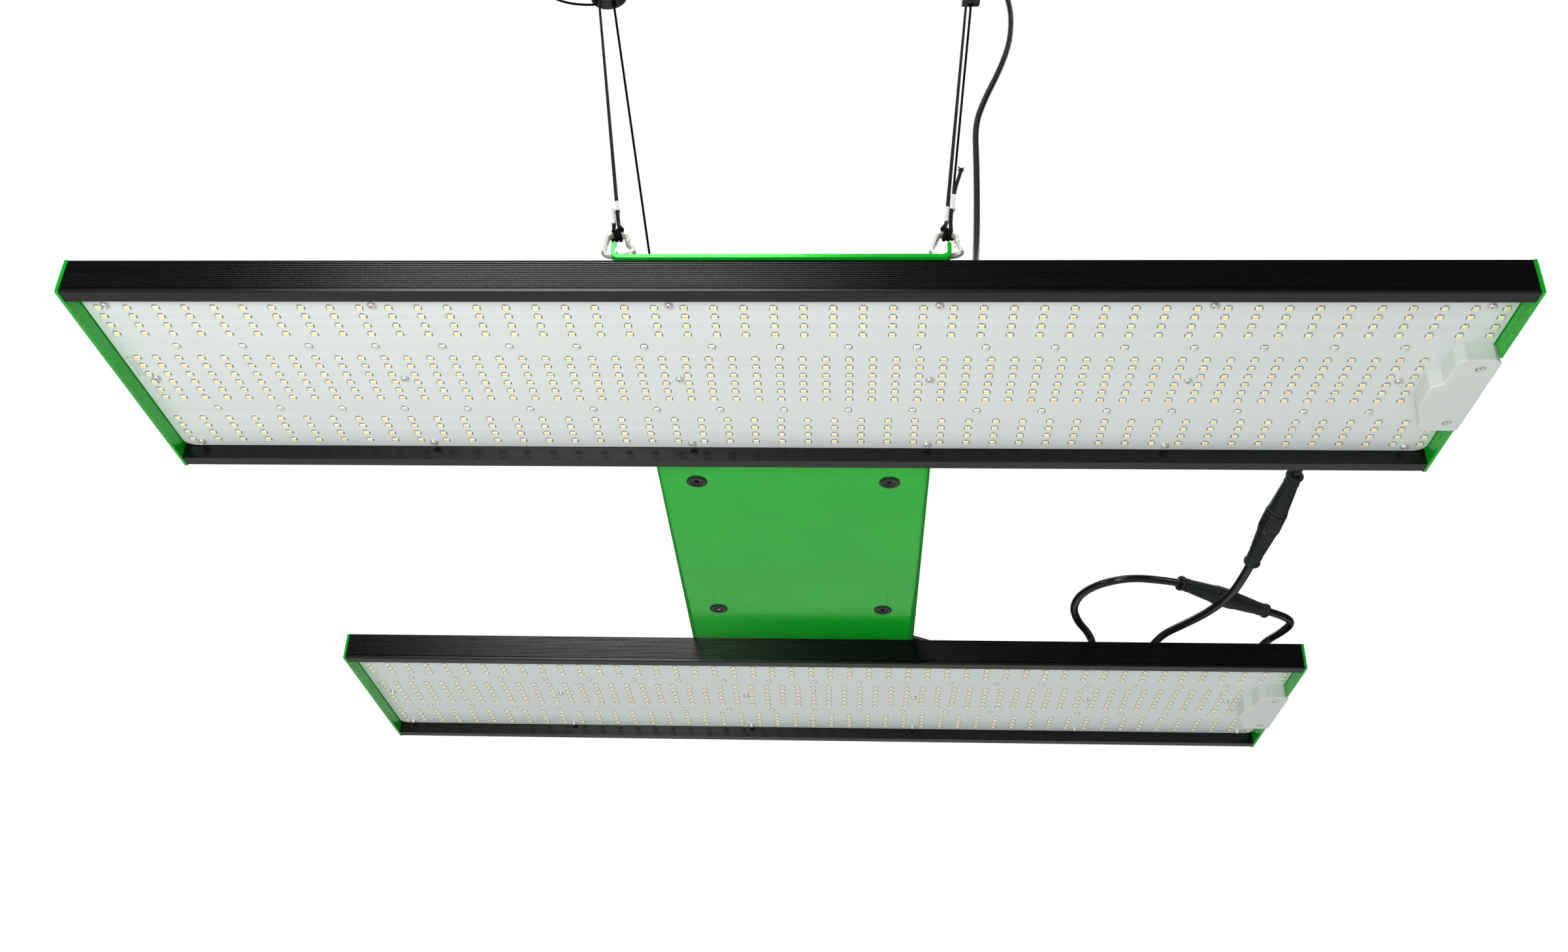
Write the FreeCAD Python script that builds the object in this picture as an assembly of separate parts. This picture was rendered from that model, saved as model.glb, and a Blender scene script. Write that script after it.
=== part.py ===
"""Hanging LED grow light: two LED bars under one bracket, with a rope harness and its leads.

Lengths are in millimetres. The lamp is laid out in a bar frame: X runs along the bars from
the middle of the near bar, Y runs away from the near bar's front face, and Z is up from the
rails' lower edges. The kept frame has its origin midway between the two ceiling hook seats.
"""
import FreeCAD
import Part
import math
import os
from FreeCAD import Placement, Rotation, Vector

# ---- bars -------------------------------------------------------------------------------
BAR_LENGTH = 870.0
BAR_WIDTH = 204.0
BAR_HEIGHT = 24.0
FAR_BAR_SHIFT = Vector(12.0, 552.0, 0.0)
RAIL_WIDTH = 10.0
RAIL_SETBACK = 0.4
RIB_DEPTH = 0.6
RIB_COUNT = 14
GROOVE_LOW = 2.6
GROOVE_HIGH = 4.0
GROOVE_DEPTH = 1.8
RIB_START = 4.8
END_PLATE = 2.0
PLATE_CORNER = 1.2
END_SCREW_IN = 5.4
END_SCREW_Z = (7.0, 19.5)
END_SCREW_SHANK = 3.0
END_SCREW_LONG = 9.0
BOARD_LOW = 10.7
BOARD_THICK = 1.6
BOARD_CORNER = 8.0
SINK_BASE = 3.0
SINK_TONGUE = 2.0
FIN_COUNT = 19
FIN_THICK = 1.6
FIN_PITCH = 9.3
FIN_END = 396.0

# ---- LED pattern, bar-local -------------------------------------------------------------
LED_LONG = 3.5
LED_WIDE = 2.8
LED_HIGH = 0.7
WHITE_FIRST = -424.5
WHITE_LAST = 426.8
WHITE_COLUMNS = 48
WHITE_ROWS = (30.5, 39.5, 49.0, 58.1, 157.7, 166.7, 175.9, 185.3)
WARM_FIRST = -422.4
WARM_SECOND = -410.0
WARM_LAST = 396.8
WARM_COLUMNS = 56
WARM_ROWS = (84.9, 94.0, 103.5, 112.8, 122.0, 131.4)
RED_FIRST = -391.2
RED_LAST = 380.6
RED_COLUMNS = 19
RED_ROWS = (71.4, 144.7)
RED_BASE = 3.5
RED_HIGH = 2.0
SCREW_ROWS = {
    27.0: (-419.0, -253.0, -71.0, 92.0, 255.0, 417.0),
    107.2: (-419.0, -253.0, -72.0, 90.0, 255.0, 388.0),
    187.4: (-419.0, -253.0, -71.0, 92.0, 255.0, 417.0),
}
SCREW_HEAD = 5.5
SCREW_SHANK = 3.0

# ---- connector cover, bar-local ---------------------------------------------------------
COVER_LOW = -2.0
COVER_WALL = 2.0
COVER_SCREWS = ((425.5, 75.8), (426.3, 138.0))
COVER_SEAT = 3.0
COVER_SHANK = 2.6
COVER_SCREW_LONG = 13.4
COVER_POST = 4.2
COVER_CORNER = 1.8
COVER_EDGE = 1.2
GLAND_SPOT = (415.0, 105.0)
GLAND_AXIS_Z = 31.5
GLAND_REACH = 19.0
GLAND_FOOT = 8.0
GLAND_NECK = 5.4
GLAND_KNUCKLE = 6.6
GLAND_BORE_START = 9.0

# ---- bracket and driver -----------------------------------------------------------------
SHEET = 2.5
BRACKET_X = (-104.0, 98.0)
BRACKET_Y = (-1.8, 757.8)
BRACKET_LOW = BAR_HEIGHT
FLANGE_TOP = 37.0
BEND_RADIUS = 5.0
FLANGE_CORNER = 2.5
M6_HOLE = 6.6
M6 = 6.0
SOCKET_FLATS = 4.0
SOCKET_DEEP = 2.4
HOOK_HOLE = 8.0
HOOK_HOLE_Z = 30.5
HOOK_Y = (7.0, 749.0)
DRIVER_SCREW_X = (-75.0, 68.5)
DRIVER_SCREW_Y = (265.0, 489.0)
DRIVER_Y = (255.0, 499.0)
DRIVER_MID_X = -3.0
DRIVER_BODY = 130.0
DRIVER_FEET = 162.0
DRIVER_HIGH = 45.0
FOOT_THICK = 5.0
CASE_WALL = 3.5
CAP_THICK = 5.0
BOLT_X = (-70.0, 64.0)
BOLT_Y = (60.0, 144.0)
DRIVER_FINS = 13
MAINS_GLAND = Vector(48.0, DRIVER_Y[0], 49.0)
LEAD_GLANDS = (Vector(28.0, DRIVER_Y[1], 47.0), Vector(6.0, DRIVER_Y[1], 47.0))
GLAND_LONG = 14.0

# ---- harness ----------------------------------------------------------------------------
ROPE = 2.5
HOOK_WIRE = 4.0
HOOK_CORNERS = ((8.8, 9.4), (9.3, 0), (-9.3, 0), (-5.9, 36), (5.9, 36), (6.6, 18.6))
HOOK_RADII = (7.8, 7.8, 5.6, 5.6)
GATE_PIVOT = Vector(6.52, 0, 20.6)
GATE_TIP = Vector(8.65, 0, 9.9)
GATE_RADIUS = 1.8
RIVET_RADIUS = 0.8
HOOK_X = (-100.4, 95.0)
HOOK_SEAT_Z = 31.9
WHEEL_Z = 672.75
BLOCK_LEFT = Vector(-212.8, 378.0, WHEEL_Z)
BLOCK_RIGHT = Vector(160.0, 378.0, WHEEL_Z)
ROPE_ON_WHEEL = 7.25
ANCHOR_OFFSET = 5.0
KNOT = 1.9
BLOCK_RADIUS = 19.5
BLOCK_HALF = 9.0
BLOCK_TOP = 55.25
BLOCK_WALL = 2.0
BLOCK_NECK = 6.0
EYE_RADIUS = 4.0
EYE_FLARE = 1.7
EYE_FLARE_DEEP = 4.6
AXLE = 4.0
LEVER_PIN = 3.0
WHEEL_FLANGE = 10.0
WHEEL_TEETH = 14
KNOT_HOLE = 3.2
EYE_HOLE_Z = 47.25
CEILING_SCALE = 1.5
CEILING_WIRE_Z = 48.25
MOUTH_Z = -19.6
SEAT_HIGH = 34.0 * CEILING_SCALE
LEVER_PIVOT = Vector(12.0, 0, 17.5)
BLOCK_SCREWS = (Vector(-14.6, 0, 8.0), Vector(-9.0, 0, 30.0), Vector(14.6, 0, 4.5))
EYE_TOP = 54.0
STRAND = 1.35
SLEEVES = {
    "front_left": (26.0, 42.0, 2.0, 28.0),
    "front_right": (2.0, 28.0, 26.0, 54.0),
    "rear_left": (26.0, 44.0, 2.0, 28.0),
    "rear_right": (26.0, 44.0, 2.0, 28.0),
}
SLEEVE_SIDES = {"front_left": -1, "front_right": 1, "rear_left": -1, "rear_right": -1}
SLEEVE_GAP = 3.5

# ---- leads and mains cord ---------------------------------------------------------------
LEAD = 6.6
MAINS = 6.0
COIL_CENTRE = Vector(190.0, 411.0, 757.0)
COIL_RADIUS = 33.0
COIL_HALF = 6.3
PLUG_FORWARD = 6.4
PLUG_DROP = 14.0
TIE_LEG_X = 171.6
CONNECTORS = {
    "near": (Vector(359.4, 243.0, 20.0), Vector(347.6, 338.3, -3.1)),
    "far": (Vector(398.6, 488.0, 26.0), Vector(315.6, 438.6, 28.0)),
}
GLAND_WAYS = {"near": Vector(-0.42, 0.907, 0), "far": Vector(-0.17, -0.985, 0)}
LEAD_ROUTES = {
    "near": [(345.2, 371.0, -6.6), (341.6, 406.0, -3.6), (336.0, 452.0, 5.4), (328.0, 503.0, 18.0),
             (322.0, 551.0, 31.0), (315.0, 592.0, 31.5), (294.0, 627.0, 30.0), (258.0, 646.0, 28.6),
             (216.0, 650.0, 29.4), (174.0, 645.0, 34.5), (134.0, 634.0, 43.0), (96.0, 617.0, 46.2),
             (61.0, 598.0, 46.8), (33.0, 573.0, 47.0), (14.0, 547.0, 47.0)],
    "far": [(299.0, 431.0, 27.0), (268.5, 425.0, 26.0), (239.5, 443.0, 25.2), (231.5, 480.0, 26.0),
            (241.0, 517.0, 27.8), (255.5, 549.0, 31.0), (266.0, 583.0, 31.4), (253.0, 614.0, 30.4),
            (222.0, 630.0, 29.2), (184.0, 630.0, 31.4), (148.0, 621.0, 39.5), (112.0, 606.0, 45.6),
            (77.0, 588.0, 46.5), (49.0, 566.0, 46.8), (33.0, 543.0, 47.0)],
}
PIGTAIL_ROUTES = {
    "near": [(393.0, 149.0, 31.4), (377.0, 181.0, 32.0), (366.5, 212.0, 30.6)],
    "far": [(415.5, 498.0, 26.4), (428.0, 514.0, 27.2), (426.6, 537.0, 29.6), (418.5, 562.0, 31.6),
            (415.0, 590.0, 31.8), (418.0, 616.0, 31.6)],
}
MAINS_POINTS = [(50.0, 222.0, 52.5), (60.0, 196.0, 63.0), (79.0, 180.0, 86.0), (101.0, 181.0, 116.0),
                (119.0, 203.0, 147.0), (131.0, 238.0, 181.0), (139.0, 276.0, 218.0),
                (144.0, 308.0, 259.0), (148.5, 331.0, 306.0), (152.0, 345.0, 362.0),
                (154.5, 356.0, 420.0), (156.0, 365.0, 473.0), (168.0, 375.0, 516.0),
                (186.0, 392.0, 570.0), (200.5, 411.0, 627.0), (207.0, 430.0, 684.0),
                (206.5, 443.0, 726.0), (202.0, 448.0, 752.0)]
COIL_ENTRY = 38.0

HANG_POINT = Vector(
    (BLOCK_LEFT.x + BLOCK_RIGHT.x) / 2,
    BLOCK_LEFT.y,
    WHEEL_Z + CEILING_WIRE_Z + SEAT_HIGH,
)
NEAR = Vector(0, 0, 0)
BARS = {"near": NEAR, "far": FAR_BAR_SHIFT}
X_AXIS = Vector(1, 0, 0)
Y_AXIS = Vector(0, 1, 0)
Z_AXIS = Vector(0, 0, 1)


# ---- helpers ----------------------------------------------------------------------------
def box(x0, x1, y0, y1, z0, z1):
    """A box between two corners."""
    return Part.makeBox(x1 - x0, y1 - y0, z1 - z0, Vector(x0, y0, z0))


def rod(start, direction, radius, length):
    """A plain cylinder."""
    return Part.makeCylinder(radius, length, start, direction)


def moved(shape, shift):
    """A copy of the shape, moved by a vector."""
    copy = shape.copy()
    copy.translate(shift)
    return copy


def moved_by(shape, placement):
    """A copy of the shape, turned and moved."""
    copy = shape.copy()
    copy.Placement = placement.multiply(copy.Placement)
    return copy


def scaled(shape, factor):
    """A larger or smaller copy of the shape, about the origin."""
    copy = shape.copy()
    copy.scale(factor)
    return copy


def prism(points, direction):
    """A straight-sided solid over a closed outline."""
    outline = Part.makePolygon(points + [points[0]])
    return Part.Face(outline).extrude(direction)


def turned(profile, base, axis):
    """A solid of revolution from (radius, height) pairs along an axis through base."""
    points = [Vector(radius, 0, height) for radius, height in profile]
    face = Part.Face(Part.makePolygon(points + [points[0]]))
    solid = face.revolve(Vector(0, 0, 0), Z_AXIS, 360)
    return moved_by(solid, Placement(base, Rotation(Z_AXIS, axis)))


def bend_radius(before, corner, after, radius=None):
    """Radius of the arc at a corner of a route, and its setback along both runs."""
    first = before.sub(corner)
    second = after.sub(corner)
    turn = math.pi - first.getAngle(second)
    shorter = min(first.Length, second.Length)
    if radius is None:
        radius = 0.45 * shorter / math.tan(turn / 2)
    return radius, radius * math.tan(turn / 2)


def smooth_wire(points, radii=None):
    """Straight runs joined by tangent arcs."""
    edges = []
    here = points[0]
    for index in range(1, len(points) - 1):
        corner = points[index]
        given = radii[index - 1] if radii else None
        radius, setback = bend_radius(points[index - 1], corner, points[index + 1], given)
        back = points[index - 1].sub(corner).normalize()
        on = points[index + 1].sub(corner).normalize()
        start = corner.add(back.multiply(setback))
        end = corner.add(on.multiply(setback))
        half_chord = end.sub(start).Length / 2
        chord_middle = start.add(end).multiply(0.5)
        drop = radius - math.sqrt(max(radius ** 2 - half_chord ** 2, 0.0))
        inward = corner.sub(chord_middle).normalize()
        middle = chord_middle.add(inward.multiply(drop))
        if start.sub(here).Length > 1e-4:
            edges.append(Part.LineSegment(here, start).toShape())
        edges.append(Part.Arc(start, middle, end).toShape())
        here = end
    if points[-1].sub(here).Length > 1e-4:
        edges.append(Part.LineSegment(here, points[-1]).toShape())
    return Part.Wire(edges)


def swept(path, radius):
    """A round bar along a wire."""
    first = path.Edges[0]
    start = first.valueAt(first.FirstParameter)
    tangent = first.tangentAt(first.FirstParameter)
    circle = Part.Wire(Part.makeCircle(radius, start, tangent))
    return path.makePipeShell([circle], True, False)


def cord(name, points, diameter):
    """A cord's tube along its route, with its radii and volume printed."""
    path = smooth_wire(points)
    solid = swept(path, diameter / 2)
    radii = []
    for index in range(1, len(points) - 1):
        radius, _ = bend_radius(points[index - 1], points[index], points[index + 1])
        radii.append(radius)
    expected = math.pi * diameter ** 2 / 4 * path.Length
    print(name, "length %.0f" % path.Length, "volume ratio %.3f" % (solid.Volume / expected),
          "radii", [round(radius) for radius in radii], "valid", solid.isValid())
    return solid


def write(name, shapes):
    """One STEP file for a node, in the kept frame."""
    shape = shapes if isinstance(shapes, Part.Shape) else Part.makeCompound(shapes)
    moved(shape, HANG_POINT.negative()).exportStep("parts/%s.step" % name)


def on_both_bars(shape):
    """The same piece on the near bar and on the far bar."""
    return [moved(shape, shift) for shift in BARS.values()]


# ---- bars -------------------------------------------------------------------------------
def rail_section():
    """Outline of the front rail: ribs outside, a shadow groove, a slot for the heat sink."""
    face_y = RAIL_SETBACK
    points = [(face_y + 0.8, 0.0), (face_y, 0.8)]
    points += [(face_y, GROOVE_LOW), (face_y + GROOVE_DEPTH, GROOVE_LOW)]
    points += [(face_y + GROOVE_DEPTH, GROOVE_HIGH), (face_y + RIB_DEPTH, GROOVE_HIGH)]
    pitch = (BAR_HEIGHT - RIB_START) / RIB_COUNT
    for rib in range(RIB_COUNT):
        low = RIB_START + rib * pitch
        points.append((face_y + RIB_DEPTH, low))
        points.append((face_y, low + 0.15 * pitch))
        points.append((face_y, low + 0.6 * pitch))
        points.append((face_y + RIB_DEPTH, low + 0.75 * pitch))
    points += [(face_y + RIB_DEPTH, BAR_HEIGHT), (RAIL_WIDTH, BAR_HEIGHT)]
    slot_low = BOARD_LOW + BOARD_THICK - 0.05
    slot_high = slot_low + SINK_BASE + 0.1
    inner = RAIL_WIDTH - SINK_TONGUE - 0.1
    points += [(RAIL_WIDTH, slot_high), (inner, slot_high)]
    points += [(inner, slot_low), (RAIL_WIDTH, slot_low), (RAIL_WIDTH, 0.0)]
    return points


def end_screw_spots():
    """End plate screws, as (y, z) on a bar's end."""
    return [(y, z) for y in (END_SCREW_IN, BAR_WIDTH - END_SCREW_IN) for z in END_SCREW_Z]


def rail(rear):
    """One extruded side rail of the near bar."""
    half = BAR_LENGTH / 2 - END_PLATE
    points = []
    for y, z in rail_section():
        points.append(Vector(-half, BAR_WIDTH - y if rear else y, z))
    solid = prism(points, Vector(2 * half, 0, 0))
    for y, z in end_screw_spots():
        for start, way in ((-half, X_AXIS), (half, X_AXIS.negative())):
            solid = solid.cut(rod(Vector(start, y, z), way, END_SCREW_SHANK / 2 + 0.05, END_SCREW_LONG))
    return solid


def cover_outline():
    """Outline of the connector cover at its outer face, anticlockwise from the near right."""
    return [
        Vector(436.0, 70.0, 0), Vector(436.0, 146.0, 0), Vector(434.0, 148.0, 0),
        Vector(413.5, 148.0, 0), Vector(409.5, 144.0, 0), Vector(409.0, 139.5, 0),
        Vector(401.7, 120.4, 0), Vector(401.7, 96.7, 0), Vector(409.0, 92.2, 0),
        Vector(409.0, 71.0, 0), Vector(411.0, 67.5, 0), Vector(414.0, 66.0, 0),
        Vector(432.0, 66.0, 0),
    ]


def end_plate(right):
    """A green end plate; the right one is notched for the connector cover."""
    outer = BAR_LENGTH / 2
    x0 = outer - END_PLATE if right else -outer
    edge = RAIL_SETBACK
    plate = box(x0, x0 + END_PLATE, -edge, BAR_WIDTH + edge, -edge, BAR_HEIGHT)
    corners = [e for e in plate.Edges if abs(e.tangentAt(e.FirstParameter).x) > 0.9]
    plate = plate.makeFillet(PLATE_CORNER, corners)
    if right:
        plate = plate.cut(box(x0 - 1, x0 + 3, 65.7, 148.3, -2, BOARD_LOW + 0.1))
    for y, z in end_screw_spots():
        inward = X_AXIS.negative() if right else X_AXIS
        seat = Vector(outer if right else -outer, y, z)
        plate = plate.cut(turned([(0, -0.01), (2.85, -0.01), (1.6, 1.7), (1.6, 3), (0, 3)], seat, inward))
    return plate


def end_plate_screw(right, y, z):
    """A countersunk screw from the end plate into a rail."""
    outer = BAR_LENGTH / 2
    inward = X_AXIS.negative() if right else X_AXIS
    seat = Vector(outer if right else -outer, y, z)
    shank = END_SCREW_SHANK / 2
    profile = [(0, 0.9), (0.9, 0.9), (0.9, 0.1), (2.7, 0.1), (shank, 1.65), (shank, END_SCREW_LONG),
               (0, END_SCREW_LONG)]
    return turned(profile, seat, inward)


def board():
    """A white circuit board with rounded corners and its screw and wire holes."""
    half = BAR_LENGTH / 2 - END_PLATE - 0.6
    low_y = RAIL_WIDTH + 0.4
    plate = box(-half, half, low_y, BAR_WIDTH - low_y, BOARD_LOW, BOARD_LOW + BOARD_THICK)
    corners = [e for e in plate.Edges if abs(e.tangentAt(e.FirstParameter).z) > 0.9]
    plate = plate.makeFillet(BOARD_CORNER, corners)
    holes = [rod(Vector(x, y, 0), Z_AXIS, 1.6, 20) for y, row in SCREW_ROWS.items() for x in row]
    holes += [rod(Vector(x, y, 0), Z_AXIS, 1.4, 20) for x, y in COVER_SCREWS]
    holes.append(rod(Vector(GLAND_SPOT[0], GLAND_SPOT[1], 0), Z_AXIS, 3.0, 20))
    return plate.cut(Part.makeCompound(holes))


def heat_sink(bolt_shift_x):
    """A finned plate over a board, with four threaded bosses under the bracket."""
    half = BAR_LENGTH / 2 - END_PLATE - 0.2
    low = BOARD_LOW + BOARD_THICK
    top = low + SINK_BASE
    edge = RAIL_WIDTH - SINK_TONGUE
    pieces = []
    first = BAR_WIDTH / 2 - FIN_PITCH * (FIN_COUNT - 1) / 2
    for fin in range(FIN_COUNT):
        middle = first + fin * FIN_PITCH
        pieces.append(box(-half, FIN_END, middle - FIN_THICK / 2, middle + FIN_THICK / 2,
                          top - 0.5, BAR_HEIGHT))
    for x in BOLT_X:
        for y in BOLT_Y:
            pieces.append(rod(Vector(x - bolt_shift_x, y, top - 0.5), Z_AXIS, 7.0,
                              BAR_HEIGHT - top + 0.5))
    sink = box(-half, half, edge, BAR_WIDTH - edge, low, top).multiFuse(pieces)
    holes = [rod(Vector(x - bolt_shift_x, y, low + 1), Z_AXIS, 3.05, 20)
             for x in BOLT_X for y in BOLT_Y]
    holes += [rod(Vector(x, y, 0), Z_AXIS, 1.55, low + 2.6) for y, row in SCREW_ROWS.items() for x in row]
    holes += [rod(Vector(x, y, 0), Z_AXIS, COVER_SHANK / 2 + 0.05, low + 2.6) for x, y in COVER_SCREWS]
    holes.append(rod(Vector(GLAND_SPOT[0], GLAND_SPOT[1], 0), Z_AXIS, 4.0, 20))
    return sink.cut(Part.makeCompound(holes))


def pan_screw(head, shank, length):
    """A cross-recessed pan head screw, head down at the origin and shank up."""
    high = 0.4 * head
    profile = [(0, 0), (shank / 2, 0), (shank / 2, length), (0, length)]
    body = turned(profile, Vector(0, 0, 0), Z_AXIS)
    dome = [(0, -high), (0.3 * head, -high), (0.45 * head, -0.6 * high), (0.5 * head, 0), (0, 0)]
    body = body.fuse(turned(dome, Vector(0, 0, 0), Z_AXIS))
    arm = 0.28 * head
    slot = 0.09 * head
    recess = box(-arm, arm, -slot, slot, -high - 1, -0.45 * high)
    recess = recess.fuse(box(-slot, slot, -arm, arm, -high - 1, -0.45 * high))
    return body.cut(recess)


def board_screws():
    """All the screws that hold the boards to the heat sinks."""
    screw = pan_screw(SCREW_HEAD, SCREW_SHANK, 4.1)
    spots = [Vector(x, y, BOARD_LOW) for y, row in SCREW_ROWS.items() for x in row]
    return [moved(screw, spot.add(shift)) for shift in BARS.values() for spot in spots]


def led_package():
    """One surface-mount LED with a chamfered polarity corner, lens side down."""
    x = LED_LONG / 2
    y = LED_WIDE / 2
    points = [Vector(-x, -y, -LED_HIGH), Vector(x - 0.6, -y, -LED_HIGH), Vector(x, -y + 0.6, -LED_HIGH),
              Vector(x, y, -LED_HIGH), Vector(-x, y, -LED_HIGH)]
    return prism(points, Vector(0, 0, LED_HIGH))


def red_package():
    """One domed emitter on a square base, dome down."""
    half = RED_BASE / 2
    base = box(-half, half, -half, half, -0.8, 0)
    radius = 1.5
    dome = Part.makeSphere(radius, Vector(0, 0, -RED_HIGH + radius))
    dome = dome.common(box(-2, 2, -2, 2, -RED_HIGH - 1, -0.7))
    return base.fuse(dome)


def led_spots(columns, rows):
    """Every place of a rectangular LED pattern on both bars."""
    places = [Vector(x, y, BOARD_LOW) for y in rows for x in columns]
    return [place.add(shift) for shift in BARS.values() for place in places]


def evenly(first, last, count):
    """Evenly spaced numbers."""
    return [first + (last - first) * index / (count - 1) for index in range(count)]


def write_leds():
    """The white, warm and red emitters."""
    white = led_spots(evenly(WHITE_FIRST, WHITE_LAST, WHITE_COLUMNS), WHITE_ROWS)
    warm_columns = [WARM_FIRST] + evenly(WARM_SECOND, WARM_LAST, WARM_COLUMNS - 1)
    warm = led_spots(warm_columns, WARM_ROWS)
    red = led_spots(evenly(RED_FIRST, RED_LAST, RED_COLUMNS), RED_ROWS)
    package = led_package()
    write("white_leds", [moved(package, spot) for spot in white])
    write("warm_leds", [moved(package, spot) for spot in warm])
    package = red_package()
    write("red_emitters", [moved(package, spot) for spot in red])


def connector_cover():
    """A white moulded cover over the board's terminals, open towards the board."""
    wire = Part.makePolygon(cover_outline() + [cover_outline()[0]])
    outer = Part.Face(wire)
    inner = Part.Face(wire.makeOffset2D(-COVER_WALL))
    shell = moved(outer.extrude(Vector(0, 0, BOARD_LOW - 0.05 - COVER_LOW)), Vector(0, 0, COVER_LOW))
    upright = [e for e in shell.Edges if abs(e.tangentAt(e.FirstParameter).z) > 0.9]
    shell = shell.makeFillet(COVER_CORNER, upright)
    low_edges = []
    for edge in shell.Edges:
        middle = edge.valueAt((edge.FirstParameter + edge.LastParameter) / 2)
        if abs(middle.z - COVER_LOW) < 1e-6:
            low_edges.append(edge)
    shell = shell.makeFillet(COVER_EDGE, low_edges)
    hollow = moved(inner.extrude(Vector(0, 0, 20)), Vector(0, 0, COVER_LOW + COVER_WALL))
    shell = shell.cut(hollow)
    for x, y in COVER_SCREWS:
        post = rod(Vector(x, y, COVER_LOW + 0.8), Z_AXIS, COVER_POST, BOARD_LOW - 0.05 - COVER_LOW - 0.8)
        shell = shell.fuse(post)
        shell = shell.cut(rod(Vector(x, y, COVER_LOW - 1), Z_AXIS, SCREW_HEAD * 0.6, COVER_SEAT + 1))
        shell = shell.cut(rod(Vector(x, y, COVER_LOW - 1), Z_AXIS, 1.6, 20))
    return shell


def terminal_block():
    """The terminal block under the connector cover, with its wire entries."""
    ways = evenly(97.5, 118.5, 4)
    block = box(412.0, 424.0, 94.0, 122.0, 3.2, BOARD_LOW)
    cuts = [rod(Vector(411, y, 6.4), X_AXIS, 1.4, 6) for y in ways]
    cuts += [rod(Vector(419.0, y, 2), Z_AXIS, 1.6, 4) for y in ways]
    return block.cut(Part.makeCompound(cuts))


def cover_screws():
    """The two screws of each connector cover."""
    screw = pan_screw(SCREW_HEAD, COVER_SHANK, COVER_SCREW_LONG)
    spots = [Vector(x, y, COVER_LOW + COVER_SEAT - 0.05) for x, y in COVER_SCREWS]
    return [moved(screw, spot.add(shift)) for shift in BARS.values() for spot in spots]


def elbow_gland(spot, way):
    """An elbow cable gland on a heat sink: a round foot, a neck, a knuckle and a ribbed outlet."""
    base_z = BOARD_LOW + BOARD_THICK + SINK_BASE
    foot = rod(Vector(spot.x, spot.y, base_z), Z_AXIS, GLAND_FOOT, 4.0)
    neck = rod(Vector(spot.x, spot.y, base_z + 3.5), Z_AXIS, GLAND_NECK, 13.0)
    head = Vector(spot.x, spot.y, GLAND_AXIS_Z)
    profile = [(0, 2), (6.0, 2), (6.0, 9), (5.0, 10), (4.6, GLAND_REACH), (0, GLAND_REACH)]
    outlet = turned(profile, head, way)
    knuckle = Part.makeSphere(GLAND_KNUCKLE, head)
    gland = foot.multiFuse([neck, knuckle, outlet])
    bore = rod(head.add(way * GLAND_BORE_START), way, LEAD / 2 + 0.05, GLAND_REACH)
    return gland.cut(bore)


def write_bars():
    """Both LED bars."""
    write("front_rails", on_both_bars(rail(False)))
    write("rear_rails", on_both_bars(rail(True)))
    write("left_end_plates", on_both_bars(end_plate(False)))
    write("right_end_plates", on_both_bars(end_plate(True)))
    screws = [end_plate_screw(right, y, z) for right in (False, True) for y, z in end_screw_spots()]
    write("end_plate_screws", [moved(s, shift) for shift in BARS.values() for s in screws])
    write("led_boards", on_both_bars(board()))
    write("heat_sinks", [moved(heat_sink(shift.x), shift) for shift in BARS.values()])
    write("connector_covers", on_both_bars(connector_cover()))
    write("board_screws", board_screws())
    write("terminal_blocks", on_both_bars(terminal_block()))
    write("cover_screws", cover_screws())
    write_leds()


# ---- bracket and driver -----------------------------------------------------------------
def bracket():
    """The folded channel that carries both bars, the driver and the four hooks."""
    x0, x1 = BRACKET_X
    y0, y1 = BRACKET_Y
    body = box(x0, x1, y0, y1, BRACKET_LOW, FLANGE_TOP)
    body = body.makeFillet(BEND_RADIUS, edges_along_y(body, BRACKET_LOW))
    inside = box(x0 + SHEET, x1 - SHEET, y0 - 1, y1 + 1, BRACKET_LOW + SHEET, FLANGE_TOP + 10)
    inside = inside.makeFillet(BEND_RADIUS - SHEET, edges_along_y(inside, BRACKET_LOW + SHEET))
    channel = body.cut(inside)
    corners = []
    for edge in channel.Edges:
        middle = edge.valueAt((edge.FirstParameter + edge.LastParameter) / 2)
        along_x = abs(edge.tangentAt(edge.FirstParameter).x) > 0.9
        at_end = min(abs(middle.y - y0), abs(middle.y - y1)) < 1e-6
        if along_x and at_end and abs(middle.z - FLANGE_TOP) < 1e-6:
            corners.append(edge)
    channel = channel.makeFillet(FLANGE_CORNER, corners)
    holes = []
    for y in HOOK_Y:
        holes.append(rod(Vector(x0 - 1, y, HOOK_HOLE_Z), X_AXIS, HOOK_HOLE / 2, 300))
    for x in DRIVER_SCREW_X:
        for y in DRIVER_SCREW_Y:
            holes.append(rod(Vector(x, y, 0), Z_AXIS, M6_HOLE / 2, 40))
    for spot in bolt_spots():
        holes.append(rod(Vector(spot.x, spot.y, 0), Z_AXIS, M6_HOLE / 2, 40))
    return channel.cut(Part.makeCompound(holes))


def edges_along_y(shape, height):
    """The edges of a box that run along Y at a height."""
    found = []
    for edge in shape.Edges:
        middle = edge.valueAt((edge.FirstParameter + edge.LastParameter) / 2)
        if abs(edge.tangentAt(edge.FirstParameter).y) > 0.9 and abs(middle.z - height) < 1e-6:
            found.append(edge)
    return found


def bolt_spots():
    """Where the bracket is bolted to the bars."""
    return [Vector(x, y + shift.y, 0) for shift in BARS.values() for x in BOLT_X for y in BOLT_Y]


def button_screw(shank, length, flange):
    """A hex-socket button screw with a round flange, head down and shank up."""
    profile = [(0, -4.4), (flange * 0.24, -4.4), (flange * 0.36, -3.4), (flange * 0.4, -1.6),
               (flange * 0.5, -1.2), (flange * 0.5, 0), (shank / 2, 0), (shank / 2, length), (0, length)]
    screw = turned(profile, Vector(0, 0, 0), Z_AXIS)
    return screw.cut(moved(hexagon(SOCKET_FLATS, SOCKET_DEEP), Vector(0, 0, -4.5)))


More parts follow.
